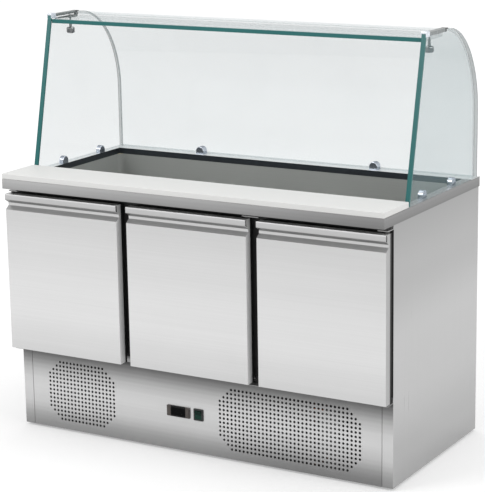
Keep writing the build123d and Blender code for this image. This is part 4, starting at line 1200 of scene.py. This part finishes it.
@dataclass
class DoorShell:
    """Folded door sheet whose long folds are rounded, with the full-width grip.

    Args:
        door: Which door it belongs to.
        fold: Outer radius of a fold.
        shortest: Folds shorter than this stay as they are.
        turn: Least angle between two faces that counts as a fold, in degrees.
        sharp: Edges steeper than this many degrees stay sharp.
    """

    door: str
    fold: float = 0.0007
    shortest: float = 0.060
    turn: float = 30.0
    sharp: float = 12.0

    def is_fold(self, edge: bmesh.types.BMEdge) -> bool:
        """Whether an edge is a long fold that stands out."""
        return (len(edge.link_faces) == 2 and edge.calc_length() > self.shortest
                and edge.calc_face_angle_signed() > math.radians(self.turn))

    def build(self) -> bpy.types.Object:
        """Makes the shell, which stands for the door's packed sheet.

        Returns:
            The shell.
        """
        shell = Bench.copied(f"door_{self.door}_skin", f"door_shell_{self.door}")
        Bench.edit(Kind.EDGE)
        bpy.ops.mesh.dissolve_limited(angle_limit=FLAT)
        found = Bench.pick(shell, Kind.EDGE, self.is_fold)
        bpy.ops.mesh.bevel(offset=self.fold, segments=2, affect="EDGES", clamp_overlap=True)
        Bench.leave()
        LOG.info("rounded %d folds on %s", found, shell.name)
        Bench.finish(shell, self.sharp)
        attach(shell, f"door_{self.door}")
        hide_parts(f"door_{self.door}_skin")
        return shell


@dataclass
class CrossScrews:
    """Pan head screws with a cross recess in the hinge brackets, all in one piece.

    Args:
        head: Radius of the head.
        height: Height of the head.
        shank: Radius of the shank.
        length: Length of the shank.
        dome: Rounding of the head's rim.
        slot_long: Length of each slot of the recess.
        slot_wide: Width of each slot.
        slot_deep: Depth of the recess.
        sharp: Edges steeper than this many degrees stay sharp.
        level: Points this little behind the foremost one are still on a head's front.
    """

    head: float = 0.0042
    height: float = 0.0022
    shank: float = 0.0024
    length: float = 0.016
    dome: float = 0.0012
    slot_long: float = 0.0046
    slot_wide: float = 0.0011
    slot_deep: float = 0.0014
    sharp: float = 35.0
    level: float = 1e-5

    def places(self) -> list[Vector]:
        """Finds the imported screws.

        Returns:
            The middle of the front of each one's head.
        """
        corners = [corner.co for corner in frame["nodes"]["hinge_screws"].data.vertices]
        front = min(corner.y for corner in corners)
        heads: list[list[Vector]] = []
        for corner in corners:
            if corner.y > front + self.level:
                continue
            near = [head for head in heads if (head[0] - corner).length < 2.0 * self.head]
            if near:
                near[0].append(corner)
            else:
                heads.append([corner])
        middles = []
        for head in heads:
            xs, zs = [corner.x for corner in head], [corner.z for corner in head]
            middles.append(Vector(((min(xs) + max(xs)) / 2.0, front, (min(zs) + max(zs)) / 2.0)))
        return sorted(middles, key=lambda point: (round(point.x, 4), round(point.z, 4)))

    def pattern(self, at: Vector) -> bpy.types.Object:
        """The first screw.

        Args:
            at: The middle of its head's front.

        Returns:
            The screw.
        """
        half = self.height / 2.0

        def lies_at(y: float) -> Callable[[object], bool]:
            """A test for edges and faces that lie wholly at one depth."""
            return lambda item: all(abs(corner.co.y - y) < NEAR for corner in item.verts)

        bpy.ops.mesh.primitive_cylinder_add(
            vertices=24, radius=self.head, depth=self.height,
            location=at + Vector((0.0, half, 0.0)), rotation=(LYING, 0.0, 0.0))
        screw = bpy.context.object
        bpy.ops.object.transform_apply(location=False, rotation=True, scale=True)
        Bench.pick(screw, Kind.EDGE, lies_at(-half))
        bpy.ops.mesh.bevel(offset=self.dome, segments=3, affect="EDGES")
        Bench.pick(screw, Kind.FACE, lies_at(half))
        bpy.ops.mesh.inset(thickness=self.head - self.shank, depth=0.0)
        bpy.ops.mesh.extrude_region_move(
            TRANSFORM_OT_translate={"value": (0.0, self.length, 0.0)})
        Bench.leave()
        slot = (self.slot_long, self.slot_wide)
        for wide, tall in (slot, slot[::-1]):
            bpy.ops.mesh.primitive_cube_add(size=1.0, location=at)
            cutter = bpy.context.object
            cutter.scale = (wide, 2.0 * self.slot_deep, tall)
            bpy.ops.object.transform_apply(location=False, rotation=False, scale=True)
            Bench.take(screw)
            cut = screw.modifiers.new("recess", "BOOLEAN")
            cut.operation = "DIFFERENCE"
            cut.object = cutter
            bpy.ops.object.modifier_apply(modifier=cut.name)
            bpy.data.objects.remove(cutter)
        return screw

    def build(self) -> bpy.types.Object:
        """Makes the screws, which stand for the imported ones.

        Returns:
            The screws.
        """
        places = self.places()
        first = self.pattern(places[0])
        made = [first]
        for place in places[1:]:
            Bench.take(first)
            bpy.ops.object.duplicate()
            copy = bpy.context.object
            copy.location = first.location + (place - places[0])
            made.append(copy)
        screws = Bench.joined(made, "hinge_bolts")
        Bench.finish(screws, self.sharp)
        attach(screws, "cabinet")
        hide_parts("hinge_screws")
        LOG.info("placed %d screws", len(places))
        return screws


@dataclass
class ThumbNut:
    """Turned thumb nut with a fluted head on a long neck.

    Args:
        side: Which of the two nuts it is.
        radius: Radius of the head.
        head: Height of the head.
        flutes: How many flutes run round the head.
        neck: Radius of the neck.
        rounding: Radius of the head's rims.
        bite: Depth of a flute.
        land: Width left beside a flute.
        step: Width and height of the slope from the head to the neck.
        dish: Distance of the dish in the head's foot from the rounded rim.
        dish_deep: Width and depth of the dish's slope.
        sharp: Edges steeper than this many degrees stay sharp.
    """

    side: str
    radius: float = 0.0135
    head: float = 0.020
    flutes: int = 24
    neck: float = 0.0045
    rounding: float = 0.004
    bite: float = 0.0005
    land: float = 0.0003
    step: float = 0.0012
    dish: float = 0.003
    dish_deep: float = 0.0006
    sharp: float = 32.0

    def is_rim(self, edge: bmesh.types.BMEdge) -> bool:
        """Whether an edge lies round one of the head's flat ends."""
        first, second = (corner.co.z for corner in edge.verts)
        return abs(first - second) < NEAR and abs(abs(first) - self.head / 2.0) < NEAR

    def is_flute(self, face: bmesh.types.BMFace) -> bool:
        """Tells which of the head's upright sides get a flute: every other one.

        Args:
            face: The face in question.

        Returns:
            Whether it gets one.
        """
        at = face.calc_center_median()
        count = round(math.atan2(at.y, at.x) / math.pi * self.flutes - 0.5)
        return abs(face.normal.z) < 0.2 and face.calc_area() > 1e-5 and count % 2 == 0

    @staticmethod
    def is_end(way: float) -> Callable[[bmesh.types.BMFace], bool]:
        """A test for the head's flat end that looks up, for 1, or down, for -1."""
        return lambda face: face.normal.z * way > 0.9 and len(face.verts) > 8

    def build(self) -> bpy.types.Object:
        """Makes the nut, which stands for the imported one.

        Returns:
            The nut.
        """
        low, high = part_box(f"shelf_knob_{self.side}")
        middle = (low + high) / 2.0
        bpy.ops.mesh.primitive_cylinder_add(
            vertices=self.flutes * 2, radius=self.radius, depth=self.head,
            location=(middle.x, middle.y, low.z + self.head / 2.0))
        nut = bpy.context.object
        nut.name = f"thumb_nut_{self.side}"
        Bench.pick(nut, Kind.EDGE, self.is_rim)
        bpy.ops.mesh.bevel(offset=self.rounding, segments=5, affect="EDGES")
        Bench.pick(nut, Kind.FACE, self.is_flute)
        bpy.ops.mesh.inset(thickness=self.land, depth=-self.bite, use_individual=True)
        Bench.pick(nut, Kind.FACE, self.is_end(1.0))
        shoulder = self.radius - self.rounding - self.neck - self.step
        neck = (0.0, 0.0, high.z - low.z - self.head - self.step)
        bpy.ops.mesh.inset(thickness=shoulder, depth=0.0)
        bpy.ops.mesh.inset(thickness=self.step, depth=self.step)
        bpy.ops.mesh.extrude_region_move(TRANSFORM_OT_translate={"value": neck})
        Bench.pick(nut, Kind.FACE, self.is_end(-1.0))
        bpy.ops.mesh.inset(thickness=self.dish, depth=0.0)
        bpy.ops.mesh.inset(thickness=self.dish_deep, depth=-self.dish_deep)
        Bench.leave()
        Bench.finish(nut, self.sharp)
        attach(nut, f"knob_{self.side}")
        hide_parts(f"shelf_knob_{self.side}")
        return nut


@dataclass
class Group:
    """What every sub-assembly has: the dresser that keeps the materials.

    Args:
        dresser: The materials' keeper.
    """

    dresser: Dresser

    def build(self) -> None:
        """Makes the sub-assembly's new pieces and dresses all its pieces."""
        raise NotImplementedError


@dataclass
class Cabinet(Group):
    """Outer sheets, tank, front frame, base and feet.

    Args:
        side: Tones of painted light and shade by height on the side sheets.
        tank: Tones of the tank.
        tank_tint: Colour that the tank's greys are multiplied by.
        face: Tones of the front frame, with painted shade under the worktop's overhang at the top.
        foot: Tones of the feet, with painted shade darkening them towards the floor.
    """

    side: Tones = ((0.008, 0.68), (0.10, 0.71), (0.30, 0.75), (0.45, 0.75), (0.66, 0.68),
                   (0.85, 0.62))
    tank: Tones = ((0.31, 0.68), (0.60, 0.70), (0.832, 0.70))
    tank_tint: Colour = (0.97, 1.0, 0.96)
    face: Tones = ((0.27, 0.60), (0.60, 0.62), (0.785, 0.52), (0.800, 0.35), (0.85, 0.30))
    foot: Tones = ((0.0, 0.42), (0.03, 0.62))

    def build(self) -> None:
        """Dresses the cabinet's nodes."""
        dress = self.dresser.nodes
        dress(SideSteel("side_steel", self.side, Along.Z, 0.32),
              *(f"side_panel_{side}" for side in SIDES))
        dress(SheetSteel("tank_steel", self.tank, Along.X, 0.40, self.tank_tint, metal=0.15),
              "inner_liner")
        dress(SheetSteel("frame_steel", self.face), "front_frame")
        dress(Galvanised("zinc_sheet"), "back_panel", "base_tray", "deck_plate")
        # Black facing round the doors: black plastic, its tone also set as painted shade for the
        # gaps round the doors.
        dress(Moulded("black_facing", screen_grey(0.16), 0.6), "frame_trim")
        dress(Moulded("rigid_foam", screen_colour(0.93, 0.87, 0.66), 0.9, 0.0003, 260.0),
              "cabinet_foam")
        dress(SheetSteel("foot_steel", self.foot, Along.Z, 0.3),
              *(f"foot_{name}" for name in FOOT_NAMES))


@dataclass
class LowerPanel(Group):
    """Punched front panel over the machine space, with controller and switch.

    Args:
        controller_x: Place of the controller's middle.
        window_half: Half the width of the black part round its window.
    """

    controller_x: float = -0.073
    window_half: float = 0.027

    def build(self) -> None:
        """Dresses the panel and its controls."""
        dress = self.dresser.nodes
        dress(PanelSteel("panel_steel", PANEL_SHADE_TONES, Along.X, 0.32), "grille_panel")
        dress(ControllerCase("controller_case", self.controller_x, self.window_half,
                             screen_grey(0.06), screen_colour(0.34, 0.32, 0.31)), "controller")
        dress(Moulded("display_black", screen_colour(0.02, 0.02, 0.022), 0.16, shine=0.06),
              "display_window")
        dress(Moulded("key_grey", screen_colour(0.36, 0.34, 0.325), shine=0.2),
              *(f"button_{side}" for side in SIDES))
        dress(Moulded("switch_black", screen_colour(0.045, 0.075, 0.068), 0.3), "switch_frame")
        dress(LitRocker("rocker_green", screen_colour(0.02, 0.15, 0.12),
                        screen_colour(0.16, 0.34, 0.28)), "rocker_switch")


@dataclass
class Doors(Group):
    """Three doors with their hinge hardware.

    Args:
        skin: Tones of painted light and shade by height on the door sheets: painted shade under the
            grip's lip, the groove painted lighter against its shade, a painted highlight on the
            lip's top edge.
        bracket: Tones of the hinge brackets.
    """

    skin: Tones = (
        (0.283, 0.806), (0.33, 0.825), (0.42, 0.854), (0.50, 0.849), (0.62, 0.820),
        (0.7475, 0.785), (0.7495, 0.70), (0.7598, 0.70), (0.7612, 0.79), (0.7694, 0.79),
        (0.7706, 0.46), (0.7810, 0.46), (0.7830, 0.72), (0.7960, 0.73), (0.7975, 0.84),
        (0.8005, 0.84),
    )
    bracket: Tones = ((0.27, 0.50), (0.50, 0.52), (0.85, 0.56))

    def build(self) -> None:
        """Makes and dresses the doors and their hardware."""
        steel = DoorSteel("door_steel", self.skin, Along.X, 0.36)
        inner = Moulded("door_inner_white", screen_colour(0.93, 0.93, 0.92), 0.35, drift=0.03)
        rubber = Moulded("seal_rubber", screen_grey(0.07), 0.7)
        bush = Moulded("bush_nylon", screen_grey(0.20))
        for name in DOOR_NAMES:
            self.dresser.piece(steel, DoorShell(name).build())
            self.dresser.nodes(inner, f"door_{name}_inner_panel")
            self.dresser.piece(rubber, DoorSeal(name).build())
            self.dresser.nodes(bush, f"door_{name}_bushes")
        self.dresser.nodes(SheetSteel("bracket_steel", self.bracket, Along.X, 0.3),
                           "hinge_brackets")
        self.dresser.piece(Polished("screw_chrome", (0.75,) * 3, (0.25,) * 3, 0.2),
                           CrossScrews().build())


@dataclass
class Worktop(Group):
    """Folded steel top with its loose board.

    Args:
        apron: Tones of painted light and shade by height on the top's folded front.
        board: Colour of the board.
    """

    apron: Tones = ((0.820, 0.60), (0.836, 0.65), (0.848, 0.69), (0.852, 0.69))
    board: Colour = screen_colour(0.900, 0.900, 0.893)

    def build(self) -> None:
        """Dresses the top and the board."""
        self.dresser.nodes(TopSteel("worktop_steel", self.apron, Along.X, 0.32, metal=0.5),
                           "worktop")
        self.dresser.nodes(BoardPlastic("board_plastic", self.board), "cutting_board")


@dataclass
class Canopy(Group):
    """Glass side panes, bent rear pane, shelf, clamps, brackets and thumb nuts.

    Args:
        tint: Colour of the veil on the glass.
        cut: Colour of ground front edges.
        edge_highlight: Painted highlight in the middle of the other edges.
        edge_shade: Painted shade along the borders of the other edges.
        side_veil: How much of the tint shows on the side panes.
        rear_veil: How much shows on the bent pane.
        shelf_veil: How much shows on the shelf.
    """

    tint: Colour = screen_colour(0.50, 0.63, 0.65)
    cut: Colour = screen_colour(0.0, 0.39, 0.385)
    edge_highlight: Colour = screen_colour(0.73, 0.74, 0.74)
    edge_shade: Colour = screen_colour(0.37, 0.38, 0.38)
    side_veil: float = 0.142
    rear_veil: float = 0.168
    shelf_veil: float = 0.145

    def glass(self, name: str, faces: PaneFace, veil: float) -> PaneGlass:
        """The glass of one pane.

        Args:
            name: The material's name.
            faces: Which kind of pane it is.
            veil: How much of the tint shows.

        Returns:
            The finish.
        """
        return PaneGlass(name, faces, self.tint, self.cut, self.edge_highlight, self.edge_shade, veil)

    def build(self) -> None:
        """Makes and dresses the canopy's pieces."""
        dress = self.dresser.nodes
        dress(self.glass("side_glass", PaneFace.SIDE, self.side_veil),
              *(f"glass_side_{side}" for side in SIDES))
        dress(self.glass("bent_glass", PaneFace.BENT, self.rear_veil), "glass_rear")
        dress(self.glass("shelf_glass", PaneFace.FLAT, self.shelf_veil), "glass_shelf")
        dress(ChannelChrome("channel_chrome"), "canopy_brackets")
        dress(Polished("clamp_chrome", screen_colour(0.86, 0.88, 0.92),
                       screen_colour(0.62, 0.65, 0.70), 0.2), "glass_clamps")
        chrome = Polished("knob_chrome", screen_colour(0.75, 0.76, 0.76),
                          screen_colour(0.30, 0.31, 0.32))
        for side in SIDES:
            self.dresser.piece(chrome, ThumbNut(side).build())


@dataclass
class FannedGroup(Group):
    """What both coolers have: a fan and its motor in the same finishes."""

    def dress_fan(self, coil: str) -> None:
        """Dresses a coil's fan and motor.

        Args:
            coil: The coil's name, evaporator or condenser.
        """
        fan = Moulded("fan_black", screen_colour(0.12, 0.12, 0.13))
        motor = Moulded("motor_grey", screen_colour(0.34, 0.35, 0.36), 0.45)
        self.dresser.nodes(fan, f"{coil}_fan")
        self.dresser.nodes(motor, f"{coil}_fan_motor")


@dataclass
class ColdParts(FannedGroup):
    """Wire shelves, their supports and the evaporator unit.

    Args:
        support: Tones of the uprights and runners.
    """

    support: Tones = ((0.31, 0.62), (0.77, 0.66))

    def build(self) -> None:
        """Dresses the nodes inside the cold space."""
        dress = self.dresser.nodes
        dress(Polished("shelf_wire", (0.74, 0.75, 0.76), (0.34, 0.35, 0.36), 0.22),
              *(f"wire_shelf_{name}" for name in DOOR_NAMES))
        dress(SheetSteel("support_steel", self.support, Along.Z, 0.3), "shelf_supports")
        dress(Fins("coil_fins"), "evaporator_coil")
        dress(Moulded("cover_white", screen_colour(0.90, 0.91, 0.91), 0.4), "evaporator_cover")
        self.dress_fan("evaporator")


@dataclass
class MachineSpace(FannedGroup):
    """Cooling unit, pipes, drip tray and cable gland."""

    def build(self) -> None:
        """Dresses the nodes in the base."""
        dress = self.dresser.nodes
        dress(Fins("condenser_fins", 0.70), "condenser_coil")
        dress(Moulded("shroud_black", screen_colour(0.16, 0.16, 0.17)), "condenser_shroud")
        self.dress_fan("condenser")
        dress(Moulded("compressor_black", screen_colour(0.10, 0.10, 0.11), 0.3, coat=0.3),
              "compressor")
        dress(Copper("drawn_copper"), "pipework")
        dress(Moulded("tray_black", screen_colour(0.18, 0.18, 0.19)), "drip_tray")
        dress(Moulded("gland_black", screen_grey(0.13), 0.4), "cable_gland")


@dataclass(frozen=True)
class SoftLamp:
    """One square lamp.

    Args:
        name: The lamp's name.
        place: Where it hangs.
        target: What it points at.
        size: The side of its face.
        power: Its power in watts.
    """

    name: str
    place: Place
    target: Place
    size: float
    power: float

    def hang(self) -> None:
        """Adds the lamp to the scene."""
        data = bpy.data.lights.new(self.name, "AREA")
        data.size = self.size
        data.energy = self.power
        lamp = bpy.data.objects.new(self.name, data)
        bpy.context.scene.collection.objects.link(lamp)
        lamp.location = self.place
        ahead = Vector(self.target) - Vector(self.place)
        lamp.rotation_euler = ahead.to_track_quat("-Z", "Y").to_euler()


@dataclass
class Studio:
    """Camera, lamps, pale floor and white surround.

    Args:
        eye: Where the camera stands.
        azimuth: How far round to the right it stands, in degrees.
        elevation: How far it looks down, in degrees.
        roll: How far it is tipped, in degrees.
        focal_pixels: Focal length in pixels of the photograph.
        photo_height: Height of the photograph in pixels.
        sensor: Width of the camera's sensor in millimetres.
        clip_end: How far the camera sees.
        ambient: Strength of the surround's plain light.
        mirrored: Strength that metal and glass show of it.
        floor_size: Side of the floor.
        floor_grey: Linear grey of the floor.
        near_glow: Strength that the floor shows round the table.
        far_glow: How much more it shows far away.
        fade: Distances between which that rises.
        lamps: The lamps.
    """

    eye: Place = (2.905, -4.973, 1.994)
    azimuth: float = 30.22
    elevation: float = 13.36
    roll: float = -0.93
    focal_pixels: float = 1831.7
    photo_height: float = 492.0
    sensor: float = 36.0
    clip_end: float = 500.0
    ambient: float = 0.576
    mirrored: float = 0.80
    floor_size: float = 160.0
    floor_grey: float = 0.80
    near_glow: float = 0.30
    far_glow: float = 0.32
    fade: tuple[float, float] = (0.8, 5.0)
    lamps: tuple[SoftLamp, ...] = (
        SoftLamp("key_lamp", (-2.2, -3.6, 3.4), (0.0, 0.0, 0.6), 2.4, 70.0),
        SoftLamp("side_lamp", (4.2, -0.8, 2.4), (0.4, 0.0, 0.5), 2.4, 45.0),
        SoftLamp("top_lamp", (0.0, 0.6, 4.2), (0.0, 0.0, 0.8), 3.0, 45.0),
    )

    def camera(self) -> None:
        """Puts the camera where the photograph was taken from."""
        around, down, turn = map(math.radians, (self.azimuth, self.elevation, self.roll))
        level = math.cos(down)
        ahead = Vector((-math.sin(around) * level, math.cos(around) * level, -math.sin(down)))
        right = Vector((math.cos(around), math.sin(around), 0.0))
        up = right.cross(ahead)
        right_turned = right * math.cos(turn) + up * math.sin(turn)
        up_turned = up * math.cos(turn) - right * math.sin(turn)
        data = bpy.data.cameras.new("photo_camera")
        data.sensor_width = self.sensor
        data.lens = self.focal_pixels / self.photo_height * self.sensor
        data.clip_end = self.clip_end
        camera = bpy.data.objects.new("photo_camera", data)
        bpy.context.scene.collection.objects.link(camera)
        axes = Matrix((right_turned, up_turned, -ahead)).transposed().to_4x4()
        camera.matrix_world = Matrix.Translation(self.eye) @ axes
        bpy.context.scene.camera = camera

    def world(self) -> None:
        """White surround for the eye, glass and metal; a plain level for everything else."""
        graph = Graph(bpy.data.worlds.new("white_surround"))
        seen, reflected = graph.rays()
        level = seen.most(reflected * self.mirrored).most(self.ambient)
        light = graph.node("ShaderNodeBackground", {},
                           {"Color": (*WHITE, 1.0), "Strength": level})
        bpy.context.scene.world = graph.end(light)

    def floor(self) -> None:
        """Pale floor that reads white away from the shadow."""
        bpy.ops.object.select_all(action="DESELECT")
        bpy.ops.mesh.primitive_plane_add(size=self.floor_size, location=(0.0, 0.0, 0.0))
        floor = bpy.context.object
        floor.name = "studio_floor"
        graph = Graph(bpy.data.materials.new("pale_floor"))
        seen, reflected = graph.rays()
        away = graph.node("ShaderNodeVectorMath", {"operation": "LENGTH"}, {0: graph.place()},
                          "Value")
        glow = away.spread(*self.fade) * self.far_glow + self.near_glow
        grey = (*(self.floor_grey,) * 3, 1.0)
        matte = graph.node("ShaderNodeBsdfDiffuse", {}, {"Color": grey})
        shine = graph.node("ShaderNodeEmission", {},
                           {"Color": (*WHITE, 1.0), "Strength": glow * seen.most(reflected)})
        both = graph.node("ShaderNodeAddShader", {}, {0: matte, 1: shine})
        floor.data.materials.append(graph.end(both))

    def build(self) -> None:
        """Sets up the whole studio."""
        bpy.context.scene.view_settings.view_transform = "Standard"
        self.camera()
        self.world()
        self.floor()
        for lamp in self.lamps:
            lamp.hang()


def main() -> None:
    """Builds the table's looks and the studio, in order."""
    logging.basicConfig(level=logging.INFO, format="%(name)s: %(message)s")
    dresser = Dresser()
    for group in (Cabinet, LowerPanel, Doors, Worktop, Canopy, ColdParts, MachineSpace):
        group(dresser).build()
        LOG.info("built %s", group.__name__)
    Studio().build()


if __name__ == "__main__":
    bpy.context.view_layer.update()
    main()
